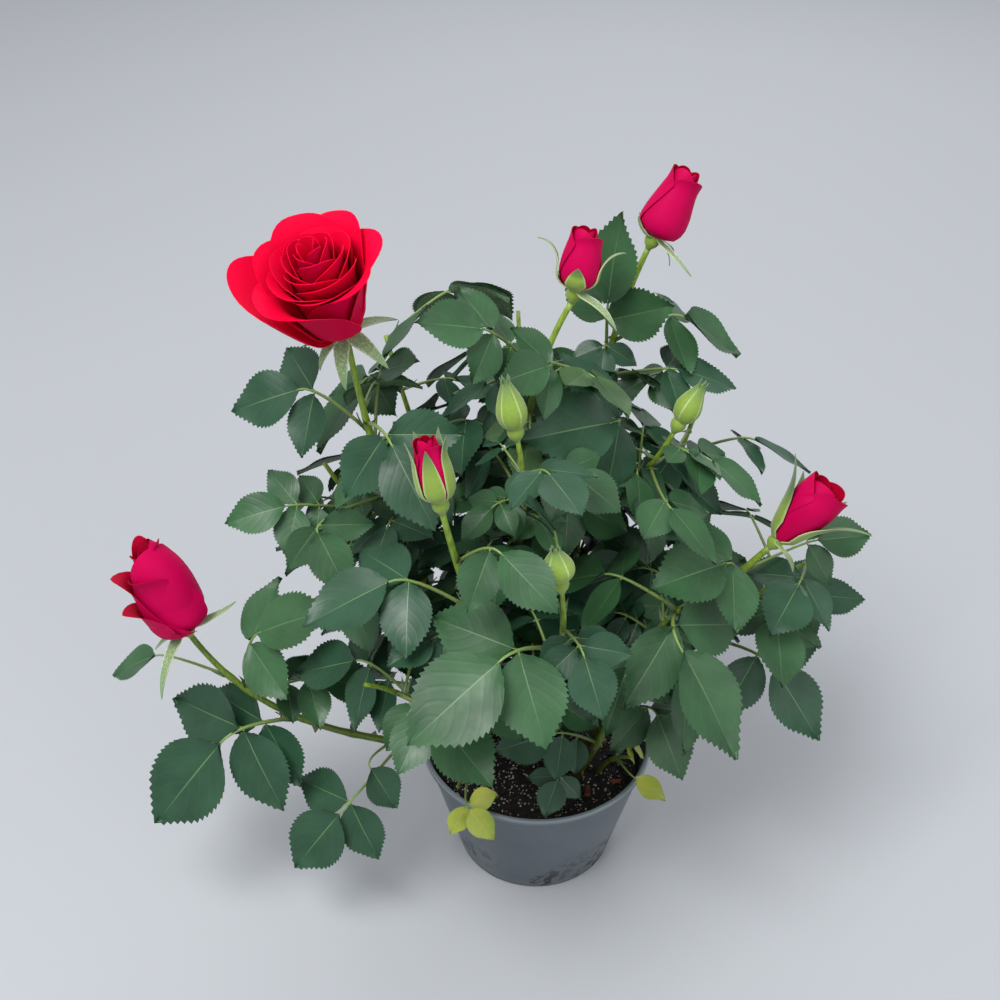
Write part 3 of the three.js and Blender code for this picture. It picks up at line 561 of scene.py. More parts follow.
SHOOTS: dict[str, Shoot] = {shoot.name: shoot for shoot in (
    Shoot("rose", foot=(-10, 5), leave=(168, 60), tip=(-83, -10, 313), arrive=(205, 84),
          thick=(2.4, 1.3), bare=0.28, fill=FillRule(0.3, 0.76, 7, 60, 34),
          posed=table(LeafPose, (0.8, 185, 50, 33, -10, 70, 35, 1, -35),
                      (0.76, 90, 45, 36, -45, 5, 31, 1), (0.82, 285, 30, 47, 20, 70, 39, 1),
                      (0.66, 230, 15, 50, 80, 60, 29, 1), (0.45, 240, 35, 30, -25, 50, 17, 1))),
    Shoot("left", foot=(-24, -8), leave=(192, 36), tip=(-164, -30, 167), arrive=(182, 66),
          thick=(2.2, 1.4), bare=0.3, grip=(0.25, 0.5),
          fill=FillRule(0.5, 0.8, 3, 80, 30),
          posed=table(LeafPose, (0.66, 210, 20, 33, -5, 65, 55, 2, -40),
                      (0.82, 330, 85, 33, 15, 50, 42, 1, 20), (0.87, 175, 25, 32, 0, 50, 28, 0),
                      (0.38, 150, 70, 33, 50, 30, 20, 1), (0.34, 240, 0, 45, -35, 45, 39, 1, -30),
                      (0.37, 235, 25, 30, 95, 85, 27, 0))),
    Shoot("top_mid", foot=(-2, 10), leave=(100, 84), tip=(12, 10, 320), arrive=(0, 62),
          thick=(2.4, 1.3), bare=0.3, fill=FillRule(0.32, 0.8, 5, 130, 36),
          posed=table(LeafPose, (0.84, 220, 50, 38, -15, 30, 31, 2, -40),
                      (0.82, 290, 35, 33, -65, 35, 28, 1, -20))),
    Shoot("top_right", foot=(12, 14), leave=(60, 80), tip=(49, 60, 322), arrive=(0, 68),
          thick=(2.4, 1.3), bare=0.32, fill=FillRule(0.34, 0.86, 6, 60, 36),
          posed=table(LeafPose, (0.76, 260, 60, 34, 150, -25, 42, 1),
                      (0.8, 345, 40, 33, 25, 75, 38, 1, 30), (0.73, 315, 30, 40, 45, 45, 30, 1, 35),
                      (0.65, 285, 30, 56, -65, 15, 51, 1, -25))),
    Shoot("right", foot=(24, -2), leave=(345, 66), tip=(104, -20, 211), arrive=(0, 50),
          thick=(2.3, 1.5), bare=0.24, fill=FillRule(0.26, 0.82, 6, 20, 36),
          posed=table(LeafPose, (0.85, 260, 55, 28, -45, 45, 40, 1),
                      (0.88, 35, 0, 40, -25, 0, 28, 1, 35))),
    Shoot("centre", foot=(-6, -14), leave=(255, 74), tip=(-42, -75, 270), arrive=(190, 80),
          thick=(2.2, 1.3), bare=0.22, fill=FillRule(0.24, 0.86, 5, 150, 36),
          posed=table(LeafPose, (0.62, 227, 34, 28, -15, 45, 23, 1))),
    Shoot("left_mid", foot=(-22, 12), leave=(165, 62), tip=(-100, 8, 238), arrive=(172, 60),
          thick=(2.0, 1.0), bare=0.24, fill=FillRule(0.26, 0.99, 8, 100, 33),
          posed=table(LeafPose, (0.84, 220, 30, 34, -30, 40, 29, 2, -40),
                      (0.7, 245, 20, 45, 40, 60, 30, 1))),
    Shoot("back_left", foot=(-10, 24), leave=(130, 66), tip=(-74, 68, 272), arrive=(135, 72),
          thick=(2.2, 1.0), bare=0.24, fill=FillRule(0.26, 0.99, 9, 0, 38)),
    Shoot("back", foot=(4, 28), leave=(85, 68), tip=(-10, 86, 276), arrive=(95, 72),
          thick=(2.2, 1.0), bare=0.24, fill=FillRule(0.26, 0.99, 9, 50, 38)),
    Shoot("back_right", foot=(22, 20), leave=(50, 64), tip=(82, 64, 246), arrive=(45, 64),
          thick=(2.2, 1.0), bare=0.24, fill=FillRule(0.26, 0.99, 7, 90, 38),
          posed=table(LeafPose, (0.8, 350, 30, 33, 0, 55, 33, 1))),
    Shoot("front_right", foot=(20, -20), leave=(318, 64), tip=(60, -54, 202), arrive=(300, 50),
          thick=(2.0, 1.0), bare=0.2, fill=FillRule(0.22, 0.99, 6, 200, 34),
          posed=table(LeafPose, (0.97, 250, 15, 16, 65, 60, 53, 1))),
    Shoot("front_left", foot=(-24, -24), leave=(228, 62), tip=(-78, -76, 178), arrive=(215, 34),
          thick=(2.0, 1.0), bare=0.2, fill=FillRule(0.22, 0.99, 6, 110, 34)),
    Shoot("green_a", on=("top_mid", 0.42), leave=(262, 55), tip=(-12, -40, 282), arrive=(180, 78),
          thick=(1.5, 1.1), bare=0, fill=FillRule(0.3, 0.8, 4, 210, 32)),
    Shoot("green_b", on=("top_right", 0.46), leave=(330, 50), tip=(59, 0, 261), arrive=(10, 68),
          thick=(1.5, 1.1), bare=0, fill=FillRule(0.35, 0.8, 3, 300, 32),
          posed=table(LeafPose, (0.71, 270, 15, 42, 40, 35, 31, 1),
                      (0.89, 315, 15, 19, 20, 40, 29, 1))),
    Shoot("green_d", on=("centre", 0.3), leave=(300, 50), tip=(6, -85, 238), arrive=(180, 82),
          thick=(1.5, 1.0), bare=0, fill=FillRule(0.3, 0.8, 3, 330, 30),
          posed=table(LeafPose, (0.86, 70, 60, 34, 130, 5, 28, 1),
                      (0.66, 237, 42, 40, -27, 72, 50, 1))),
    Shoot("right_low", on=("right", 0.36), leave=(350, 36), tip=(132, 14, 176), arrive=(10, 26),
          thick=(1.5, 1.0), bare=0, fill=FillRule(0.35, 0.99, 5, 60, 34),
          posed=table(LeafPose, (0.53, 10, 20, 34, -10, 25, 30, 1, 35),
                      (0.4, 330, 15, 31, -5, 55, 42, 1, 40))),
    Shoot("rim_left", foot=(-30, -24), leave=(225, 70), tip=(-40, -50, 86), arrive=(250, 10),
          thick=(1.3, 0.8), bare=0, yellow=True,
          fill=FillRule(0.5, 1, 1, 180, 16),
          posed=table(LeafPose, (0.5, 265, 20, 28, 65, 65, 20, 1))),
    Shoot("rim_right", foot=(32, -18), leave=(320, 75), tip=(46, -32, 88), arrive=(330, 20),
          thick=(1.3, 0.8), bare=0, yellow=True,
          fill=FillRule(0.6, 1, 1, 80, 18),
          posed=table(LeafPose, (0.7, 290, 10, 14, 40, 30, 18, 0))),
    Shoot("rim_front", foot=(6, -32), leave=(280, 75), tip=(14, -42, 84), arrive=(290, 20),
          thick=(1.3, 0.8), bare=0, fill=FillRule(0.6, 1, 1, 20, 18),
          posed=table(LeafPose, (0.6, 275, 60, 14, -35, 105, 19, 1))),)}


class HeadKind(Enum):
    """How far a flower has opened."""

    OPEN = "open"
    HALF = "half"
    BUD = "bud"
    GREEN = "green"


@dataclass(frozen=True)
class HeadPlan:
    """A flower's stage, the way it faces, and the length and radius of its petals together."""

    kind: HeadKind
    axis: tuple[float, float]
    length: float
    radius: float

    def place(self, name: str, share: float) -> Vector:
        """The point in the flower of a shoot, at a share of its petals' length over its hip."""
        return SHOOTS[name].point(1.0) + polar(*self.axis) * (HIP_LENGTH + self.length * share)


HEADS: dict[str, HeadPlan] = {
    "rose": HeadPlan(HeadKind.OPEN, (236, 68), 41, 18),
    "left": HeadPlan(HeadKind.HALF, (175, 72), 40, 13),
    "top_right": HeadPlan(HeadKind.BUD, (14, 65), 35, 10),
    "top_mid": HeadPlan(HeadKind.BUD, (40, 78), 28, 8),
    "right": HeadPlan(HeadKind.BUD, (5, 54), 38, 12),
    "centre": HeadPlan(HeadKind.BUD, (145, 77), 32, 8),
    "green_a": HeadPlan(HeadKind.GREEN, (150, 78), 23, 6.5),
    "green_b": HeadPlan(HeadKind.GREEN, (10, 64), 21, 6),
    "green_d": HeadPlan(HeadKind.GREEN, (150, 80), 17, 5),
}


class SeededSeries:
    """The repeatable series of random numbers that varies the plant."""

    FACTOR = 16807
    LIMIT = 2147483647

    def __init__(self, seed: int) -> None:
        """Starts the series.

        Args:
            seed: any whole number from 1 up.
        """
        self._state = seed

    def between(self, low: float, high: float) -> float:
        """The next number, spread evenly from low to high."""
        self._state = (self._state * self.FACTOR) % self.LIMIT
        return low + (high - low) * self._state / self.LIMIT

    def choice(self, options: Sequence) -> object:
        """The next pick from some options."""
        return options[min(int(self.between(0, len(options))), len(options) - 1)]


@dataclass(frozen=True)
class GrownLeaf:
    """A leaf in its place: where its stalk starts, bends and ends, and the axes of its blade."""

    shoot: str
    size: float
    pairs: int
    base: Vector
    joint: Vector
    neck: Vector
    end: Vector
    side: Vector
    normal: Vector

    @classmethod
    def from_pose(cls, shoot: Shoot, pose: LeafPose) -> "GrownLeaf":
        """Works a posed leaf out as the solids do.

        Args:
            shoot: the shoot that carries it.
            pose: its place along the shoot, its angles and its lengths.

        Returns:
            The leaf in its place.
        """
        base = shoot.point(pose.at)
        heading = pose.heading + pose.turn
        end = polar(heading, pose.rise - pose.droop)
        beside = polar(heading + 90, 0)
        joint = base + polar(pose.heading, pose.rise) * pose.reach
        outward = math.atan2(joint.y - CROWN_CENTRE[1], joint.x - CROWN_CENTRE[0])
        facing = math.sin(outward - math.radians(heading))
        roll = math.radians(pose.roll - OUTWARD_ROLL * facing)
        side = beside * math.cos(roll) + end.cross(beside) * math.sin(roll)
        neck = joint + end * pose.size * NECK
        return cls(shoot.name, pose.size, pose.pairs, base, joint, neck, end, side, end.cross(side))

    def tip(self) -> Vector:
        """The point of the end leaflet, which the solids share."""
        return self.neck + self.end * self.size - self.normal * LEAF_CURL * self.size

    def reach(self) -> float:
        """The length of the stalk up to its bend."""
        return (self.joint - self.base).length

    def stalk(self, share: float) -> Vector:
        """A point on the curved stalk from its base to the end leaflet."""
        return bezier(self.base, self.base.lerp(self.joint, 0.75),
                      self.joint.lerp(self.neck, 0.35), self.neck, share)


@dataclass(frozen=True)
class Habit:
    """The ranges from which a seeded leaf's rise, size, reach and droop are drawn.

    The size is a share of its shoot's leaf size, and the reach a share of the leaf's own.
    """

    # How far a leaf turns at its joint and rolls, and the share that have two pairs.
    TURN, ROLL, TWO_PAIRS = 25, 18, 0.3

    rise: tuple[float, float]
    size: tuple[float, float]
    reach: tuple[float, float]
    droop: tuple[float, float]

    def pose(self, series: SeededSeries, at: float, heading: float, whole: float) -> LeafPose:
        """Draws the next leaf of this habit.

        Args:
            series: the random numbers.
            at: its place along its shoot.
            heading: the heading of its stalk.
            whole: the leaf size of its shoot.

        Returns:
            Its pose.
        """
        rise = series.between(*self.rise)
        size = whole * series.between(*self.size)
        reach = size * series.between(*self.reach)
        turn = series.between(-self.TURN, self.TURN)
        droop = rise + series.between(*self.droop)
        pairs = 2 if series.between(0, 1) < self.TWO_PAIRS else 1
        return LeafPose(at, heading, rise, reach, turn, droop, size, pairs,
                        series.between(-self.ROLL, self.ROLL))


class GrowingRule:
    """Grows the plant's leaves again as its solids have them, and leaves out the same ones."""

    # How near a leaf's tip lies to a corner of its packed spray where the solids have it.
    MATCH = 0.25
    OUTER = Habit((22, 46), (0.85, 1.15), (0.75, 1.05), (8, 44))
    INNER = Habit((5, 48), (0.55, 0.85), (0.6, 0.95), (0, 40))
    # How far a leaf of the solids strays to either side of its golden angle.
    STRAY = 14
    INNER_SEED = 6151
    # An inner leaf's turn past the seeded ones, and how far up a shoot they go.
    INNER_PHASE = 68
    TOP_SHARE = 0.9
    BARE_SHOOTS = ("left", "rim_front", "right_low")
    # The part of the crown's egg that inner leaves fill: its front and back depths and its whole.
    FRONT = 0.62
    BACK = 0.9
    FILLED = 0.78
    FLOWER_ROOM = 12
    POT_ROOM = 14

    def __init__(self, nodes: dict[str, Object]) -> None:
        """Reads the corners of each packed spray.

        Args:
            nodes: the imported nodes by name.
        """
        self._corners: dict[str, KDTree] = {}
        for name in SHOOTS:
            mesh = nodes[f"spray_{name}"].data
            tree = KDTree(len(mesh.vertices))
            for vertex in mesh.vertices:
                tree.insert(vertex.co * 1000.0, vertex.index)
            tree.balance()
            self._corners[name] = tree

    def _seeded(self, series: SeededSeries, fill: FillRule) -> list[LeafPose]:
        """The seeded leaves of one shoot, wound round it by the golden angle.

        Args:
            series: the random numbers.
            fill: where they start and stop, and how many there are.

        Returns:
            Their poses.
        """
        poses = []
        for i in range(fill.count):
            at = fill.start + (fill.stop - fill.start) * i / max(fill.count - 1, 1)
            heading = fill.phase + GOLDEN_ANGLE * i + series.between(-self.STRAY, self.STRAY)
            poses.append(self.OUTER.pose(series, at, heading, fill.size))
        return poses

    def _placed(self, shoot: Shoot, pose: LeafPose) -> GrownLeaf | None:
        """The leaf as the solids have it, or None where they left it out.

        Args:
            shoot: the shoot that carries it.
            pose: its pose before any swing.

        Returns:
            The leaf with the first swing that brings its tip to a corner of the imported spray.
        """
        for swing, lift in SWINGS:
            leaf = GrownLeaf.from_pose(shoot, pose.swung(swing, lift))
            if self._corners[shoot.name].find(leaf.tip())[2] < self.MATCH:
                return leaf
        return None

    def leaves(self) -> Iterator[GrownLeaf]:
        """Every leaf that the solids have."""
        series = SeededSeries(SEED)
        for shoot in SHOOTS.values():
            for pose in (*shoot.posed, *self._seeded(series, shoot.fill)):
                leaf = self._placed(shoot, pose)
                if leaf is not None:
                    yield leaf

    def inner_leaves(self) -> Iterator[GrownLeaf]:
        """Smaller leaves that fill the crown between those of the solids, by the same rule."""
        series = SeededSeries(self.INNER_SEED)
        for shoot in SHOOTS.values():
            if shoot.yellow or shoot.name in self.BARE_SHOOTS:
                continue
            count = int(2.5 * shoot.fill.count) + 4
            for i in range(count):
                at = shoot.bare + 0.04 + (self.TOP_SHARE - shoot.bare) * i / count
                heading = shoot.fill.phase + self.INNER_PHASE + GOLDEN_ANGLE * i
                pose = self.INNER.pose(series, at, heading, shoot.fill.size)
                leaf = GrownLeaf.from_pose(shoot, pose)
                if self._inside(leaf):
                    yield leaf

    def _inside(self, leaf: GrownLeaf) -> bool:
        """Whether a leaf stays inside the crown, behind its front leaves and off the flowers.

        Args:
            leaf: the leaf.

        Returns:
            Whether it does, and is also well over the pot.
        """
        points = [leaf.joint + leaf.side * leaf.size * share for share in (-1, -0.5, 0, 0.5, 1)]
        for point in (leaf.tip(), (leaf.joint + leaf.tip()) / 2, *points):
            x, y, z = point - Vector(CROWN_CENTRE)
            half = CROWN_BELOW if z < 0 else CROWN_HALF[2]
            depth = self.FRONT if y < 0 else self.BACK
            if ((x / CROWN_HALF[0]) ** 2 + (y / CROWN_HALF[1] / depth) ** 2
                    + (z / half) ** 2 > self.FILLED):
                return False
            for name, plan in HEADS.items():
                if (point - plan.place(name, 0.5)).length < plan.radius + self.FLOWER_ROOM:
                    return False
        return leaf.joint.z > POT_HEIGHT + self.POT_ROOM


@dataclass(frozen=True)
class SmallShape:
    """A small shape held as arrays, ready to be copied many times."""

    points: np.ndarray
    corners: np.ndarray
    starts: np.ndarray
    uvs: np.ndarray
    slots: np.ndarray

    @classmethod
    def taken_from(cls, bm: BMesh) -> "SmallShape":
        """Reads a modelled shape into arrays and frees it.

        Args:
            bm: the modelled shape, with a UV layer if it has one.

        Returns:
            The shape as arrays.
        """
        bm.verts.index_update()
        layer = bm.loops.layers.uv.active
        loops = [loop for face in bm.faces for loop in face.loops]
        sizes = [len(face.loops) for face in bm.faces]
        shape = cls(
            np.array([vertex.co[:] for vertex in bm.verts]),
            np.array([loop.vert.index for loop in loops]),
            np.cumsum([0] + sizes[:-1]),
            np.array([loop[layer].uv[:] if layer else (0.5, 0.5) for loop in loops]),
            np.array([face.material_index for face in bm.faces]),
        )
        bm.free()
        return shape


class JoinedShapes:
    """Copies of small shapes, gathered into one mesh of metres."""

    def __init__(self) -> None:
        """Starts with no copies."""
        self._copies: list[SmallShape] = []
        self._vertex_count = 0
        self._loop_count = 0

    def add(self, shape: SmallShape, origin: Vector, axes: Sequence[Vector],
            slots: Sequence[int] = (0, 1, 2, 3)) -> None:
        """Adds a copy of a shape.

        Args:
            shape: the shape to copy.
            origin: where its own origin goes, in millimetres.
            axes: where its X, Y and Z units go, in millimetres.
            slots: the finish number that each of the shape's own finish numbers becomes.
        """
        turn = np.array([axis[:] for axis in axes])
        self._copies.append(SmallShape(
            (shape.points @ turn + np.array(origin[:])) * MM, shape.corners + self._vertex_count,
            shape.starts + self._loop_count, shape.uvs, np.array(slots)[shape.slots]))
        self._vertex_count += len(shape.points)
        self._loop_count += len(shape.corners)

    def _all(self, part: str, kind: type) -> np.ndarray:
        """One array of every copy, end to end, as numbers of a kind."""
        return np.concatenate([getattr(copy, part) for copy in self._copies]).astype(kind).ravel()

    def build(self, name: str, finishes: Sequence[Material], slot: str,
              replaced: Sequence[str] = ()) -> Object:
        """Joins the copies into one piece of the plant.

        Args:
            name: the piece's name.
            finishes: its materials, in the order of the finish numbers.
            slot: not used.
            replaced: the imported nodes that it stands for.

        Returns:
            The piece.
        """
        mesh = bpy.data.meshes.new(name)
        starts = self._all("starts", np.int32)
        mesh.vertices.add(self._vertex_count)
        mesh.loops.add(self._loop_count)
        mesh.polygons.add(len(starts))
        mesh.vertices.foreach_set("co", self._all("points", np.float32))
        for items, key, part in ((mesh.loops, "vertex_index", "corners"),
                                 (mesh.polygons, "loop_start", "starts"),
                                 (mesh.polygons, "material_index", "slots")):
            items.foreach_set(key, self._all(part, np.int32))
        mesh.polygons.foreach_set("use_smooth", np.ones(len(starts), dtype=bool))
        mesh.update(calc_edges=True)
        layer = mesh.uv_layers.new(name="UVMap")
        layer.data.foreach_set("uv", self._all("uvs", np.float32))
        mesh.validate()
        mesh.set_sharp_from_angle(angle=SHARP)
        return settle(name, mesh, finishes, replaced)


def settle(name: str, mesh: Mesh, finishes: Sequence[Material],
           replaced: Sequence[str] = ()) -> Object:
    """Makes a mesh a piece of the plant.

    Args:
        name: the piece's name.
        mesh: its mesh, in metres in the row's frame.
        finishes: its materials.
        replaced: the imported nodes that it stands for.

    Returns:
        The piece.
    """
    piece = added(name, mesh)
    for finish in finishes:
        mesh.materials.append(finish)
    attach(piece, "root")
    if replaced:
        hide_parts(*replaced)
    LOG.info("%s: %d triangles", name, sum(len(face.vertices) - 2 for face in mesh.polygons))
    return piece


def mesh_from(bm: BMesh, name: str) -> Mesh:
    """Turns a modelled shape in millimetres into a smooth mesh in metres, and frees it."""
    bmesh.ops.scale(bm, vec=(MM, MM, MM), verts=bm.verts)
    for face in bm.faces:
        face.smooth = True
    mesh = bpy.data.meshes.new(name)
    bm.to_mesh(mesh)
    bm.free()
    return mesh


@dataclass(frozen=True)
class BladeShape:
    """A flat blade of unit length, such as a leaflet or stipule: an upper and an under skin.

    Each skin is a grid whose rows run along the blade. half_width gives its half width at each
    place along it and lines are the places of the grid's lines across it. The under skin lies
    a hair lower and stops short of the teeth. Finish numbers are 0 for the blade, 1 for the
    rib and 2 for the underside.
    """

    DEPTH = 0.012
    # A line as far across as this lies on the side of the blade, where the teeth are.
    SIDE = 0.999
    UNDER_LINES = (-0.86, -0.5, 0.0, 0.5, 0.86)
    # Points between two rows along a toothed side. Every second one is a tooth.
    TOOTH_CUTS = 3
    TOOTHED = 0.97

    half_width: Callable[[float], float]
    rows: int
    lines: tuple[float, ...]
    curl: float
    fold: float
    wave: float = 0.0
    phase: float = 0.0
    twist: float = 0.0
    teeth: float = 0.0

    def build(self) -> SmallShape:
        """Models the blade.

        Returns:
            The blade as arrays: X along it, Y across it and Z out of its upper side.
        """
        bm = bmesh.new()
        self._skin(bm, self.lines, self.teeth, False)
        self._skin(bm, self.UNDER_LINES, 0.0, True)
        bmesh.ops.remove_doubles(bm, verts=bm.verts, dist=1e-5)
        return SmallShape.taken_from(bm)

    def _skin(self, bm: BMesh, lines: Sequence[float], teeth: float, under: bool) -> None:
        """Adds one skin of the blade.

        Args:
            bm: the mesh that it is added to.
            lines: the places of its lines across it.
            teeth: how far the teeth along its sides stand out.
            under: whether it is the under skin.
        """
        columns = len(lines) - 1
        layer = bm.loops.layers.uv.verify()
        before = len(bm.faces)
        bmesh.ops.create_grid(bm, x_segments=self.rows, y_segments=columns, size=1)
        if teeth:
            sides = [edge for edge in bm.edges if all(abs(v.co.y) > self.SIDE for v in edge.verts)]
            bmesh.ops.subdivide_edges(bm, edges=sides, cuts=self.TOOTH_CUTS)
        bm.faces.ensure_lookup_table()
        faces = bm.faces[before:]
        for face in faces:
            column = int((face.calc_center_median().y + 1) / 2 * columns)
            ribbed = lines[column] < 0 < lines[column + 1]
            face.material_index = 2 if under else 1 if ribbed else 0
            for loop in face.loops:
                line = lines[round((loop.vert.co.y + 1) / 2 * columns)]
                loop[layer].uv = ((loop.vert.co.x + 1) / 2, (line + 1) / 2)
        for vertex in {vertex for face in faces for vertex in face.verts}:
            vertex.co = self._shaped(vertex.co, lines, teeth)
            vertex.co.z -= self.DEPTH if under else 0.0
        if under:
            bmesh.ops.reverse_faces(bm, faces=faces)

    def _shaped(self, place: Vector, lines: Sequence[float], teeth: float) -> Vector:
        """Moves a point of the flat grid to its place on the blade.

        Args:
            place: the point, with X and Y from -1 to 1.
            lines: the places of the skin's lines across the blade.
            teeth: how far the teeth stand out.

        Returns:
            The point on a blade of unit length.
        """
        along = (place.x + 1) / 2
        line = lines[round((place.y + 1) / 2 * (len(lines) - 1))]
        step = along * self.rows - math.floor(along * self.rows + 1e-4)
        half = self.half_width(along)
        across = line * half
        if (teeth and abs(line) > self.SIDE and round(step * (self.TOOTH_CUTS + 1)) % 2
                and along < self.TOOTHED):
            across += math.copysign(teeth * (0.55 + 0.45 * math.sin(math.pi * along)), line)
            along += 0.9 * teeth
        ripple = self.wave * math.sin(math.tau * 1.7 * along + self.phase + line) * abs(line) ** 1.5
        lift = self.fold * abs(line) - self.curl * along * along + ripple
        lift += self.twist * line * along * half
        return Vector((along, across, lift))


def leaflet_half_width(along: float) -> float:
    """Half the width of an oval, pointed leaflet at a place along it.

    Args:
        along: from 0 at its foot to 1 at its tip.

    Returns:
        Half the width, as a share of its length.
    """
    if along > 0.999:
        return 0.0
    oval = 0.326 * math.sin(math.pi * along ** 0.81) ** 0.82
    return max(0.016, oval * (1.0 - 0.42 * max(0.0, (along - 0.66) / 0.34)))


def stipule_half_width(along: float) -> float:
    """Half the width of a stipule, which runs out to a long thin tip.

    Args:
        along: from 0 at its foot to 1 at its tip.

    Returns:
        Half the width, as a share of its length.
    """
    if along > 0.999:
        return 0.0
    return 0.13 * (1.0 - along) ** 0.9 + 0.05 * math.sin(math.pi * min(along / 0.55, 1.0)) + 0.012


class Foliage:
    """All the leaves: curved stalks with stipules, and toothed leaflets in a few ages."""

    BLADE_LINES = (-1.0, -0.5, -0.02, 0.02, 0.5, 1.0)
    BLADE_ROWS = 9
    TEETH = 0.025
    # The curl, fold, wave, phase and twist of each leaflet shape.
    BLADES = ((0.10, 0.045, 0.012, 0.0, 0.10), (0.16, 0.060, 0.016, 1.3, -0.15),
              (0.07, 0.075, 0.010, 2.6, 0.20), (0.13, 0.030, 0.020, 3.9, -0.20),
              (0.18, 0.050, 0.012, 5.2, 0.05), (0.11, 0.085, 0.014, 0.8, -0.05))
    # Finish numbers after those of the four ages of blade.
    RIB, UNDERSIDE, YELLOW_RIB, YELLOW_UNDERSIDE = 4, 5, 6, 7
    # The angle of the first pair of side leaflets, and how much wider each next pair stands.
    SPLAY, WIDER = 64.0, 6
    STALK_STEPS = 8
    # Leaves shorter than SMALL are likelier to look fresh, by FRESHER.
    SMALL, FRESHER = 26, 0.12
    # Leaves whose joint lies in front of this depth are in the near piece.
    NEAR_DEPTH = 12

    def __init__(self, rule: GrowingRule) -> None:
        """Models the leaflet shapes and takes the leaves from the rule.

        Args:
            rule: the growing rule.
        """
        self._leaves = list(rule.leaves())
        self._inner = list(rule.inner_leaves())
        LOG.info("%d leaves, %d inner leaves", len(self._leaves), len(self._inner))
        self._series = SeededSeries(7919)
        self._shapes = [BladeShape(leaflet_half_width, self.BLADE_ROWS, self.BLADE_LINES, *form,
                                   teeth=self.TEETH).build() for form in self.BLADES]
        self._stipule = BladeShape(stipule_half_width, 4, (-1.0, 0.0, 1.0), 0.2, 0.05).build()

    def _tone(self, leaf: GrownLeaf) -> Tone:
        """How old a leaf looks: yellow at the two rim shoots, fresher when small.

        Args:
            leaf: the leaf.

        Returns:
            Its tone.
        """
        if SHOOTS[leaf.shoot].yellow:
            return Tone.YELLOW
        pick = self._series.between(0, 1) + (self.FRESHER if leaf.size < self.SMALL else 0.0)
        if pick > 0.98:
            return Tone.FRESH
        return Tone.MIDDLE if pick > 0.5 else Tone.DEEP

    def _blade(self, pile: JoinedShapes, origin: Vector, along: Vector, facing: Vector,
               size: float, tone: Tone) -> None:
        """Adds one leaflet to a pile.

        Args:
            pile: the joined shapes that it is added to.
            origin: its foot.
            along: the unit vector towards its tip.
            facing: the way that its upper side faces, roughly.
            size: its length.
            tone: how old it looks.
        """
        top = (facing - along * facing.dot(along)).normalized()
        across = top.cross(along)
        shape = self._series.choice(self._shapes)
        wide = self._series.between(0.92, 1.12)
        deep = 1.0 if self._series.between(0, 1) < 0.5 else 0.8
        rib, under = ((self.YELLOW_RIB, self.YELLOW_UNDERSIDE) if tone is Tone.YELLOW
                      else (self.RIB, self.UNDERSIDE))
        pile.add(shape, origin, (along * size, across * size * wide, top * size * deep),
                 (tone.value, rib, under))

    def _side_leaflets(self, leaf: GrownLeaf) -> Iterator[tuple[Vector, Vector, float]]:
        """Where each side leaflet springs from its stalk, the way it points and its size.

        Args:
            leaf: the leaf.

        Yields:
            The foot, the unit vector towards the tip and the length of each side leaflet.
        """
        whole = leaf.reach() / (leaf.reach() + (leaf.neck - leaf.joint).length)
        for pair in range(leaf.pairs):
            ratio = (1 - 0.36 * pair) * whole
            centre = leaf.stalk(ratio * (0.41 + 0.51 * ratio))
            splay = math.radians(self.SPLAY + self.WIDER * pair)
            for hand in (-1, 1):
                along = (leaf.end * math.cos(splay) + leaf.side * hand * math.sin(splay)
                         - leaf.normal * 0.14).normalized()
                size = leaf.size * (0.8 - 0.16 * pair)
                if not self._crosses_flower(centre, along * size):
                    yield centre, along, size

    @staticmethod
    def _crosses_flower(start: Vector, reach: Vector) -> bool:
        """Whether a leaflet that runs over a reach from its start would pass through a flower.

        Args:
            start: the leaflet's foot.
            reach: its tip, from its foot.

        Returns:
            Whether it would.
        """
        for name, plan in HEADS.items():
            for share in (0.0, 0.5, 1.0):
                heart = plan.place(name, share)
                if min((start + reach * (k / 8) - heart).length for k in range(9)) < plan.radius:
                    return True
        return False

    def dress(self, finishes: Sequence[Material]) -> list[Object]:
        """Builds the leaflets and their stipules.

        Args:
            finishes: the four ages of blade, rib, underside, yellow rib and yellow underside.

        Returns:
            The pieces.
        """
        near, far, inner, yellow = (JoinedShapes() for _ in range(4))
        for leaves, filling in ((self._leaves, False), (self._inner, True)):
            for leaf in leaves:
                tone = self._tone(leaf)
                pile = yellow if tone is Tone.YELLOW else inner if filling else (
                    near if leaf.joint.y < self.NEAR_DEPTH else far)
                self._blade(pile, leaf.neck, leaf.end, leaf.normal, leaf.size, tone)
                for centre, along, size in self._side_leaflets(leaf):
                    self._blade(pile, centre + along * 1.2, along, leaf.normal, size, tone)
                self._stipules(pile, leaf)
        rim = [f"spray_{name}" for name, shoot in SHOOTS.items() if shoot.yellow]
        green = [f"spray_{name}" for name, shoot in SHOOTS.items() if not shoot.yellow]
        return [near.build("leaves_near", finishes, "leaf", green),
                far.build("leaves_far", finishes, "leaf"),
                inner.build("leaves_inner", finishes, "leaf"),
                yellow.build("leaves_yellow", finishes, "yellow_leaf", rim)]

    def _stipules(self, pile: JoinedShapes, leaf: GrownLeaf) -> None:
        """Adds the two narrow wings at the foot of a stalk.

        Args:
            pile: the joined shapes that they are added to.
            leaf: the stalk's leaf.
        """
        out = (leaf.joint - leaf.base).normalized()
        beside = out.cross(UP).normalized()
        for hand in (-1, 1):
            along = (out + beside * hand * 0.32).normalized()
            top = along.cross(beside * hand).normalized() * hand
            size = 5.0 + leaf.size * 0.11
            pile.add(self._stipule, leaf.base + out * 1.5,
                     (along * size, top.cross(along) * size, top * size),
                     (Tone.FRESH.value, self.RIB, self.UNDERSIDE))

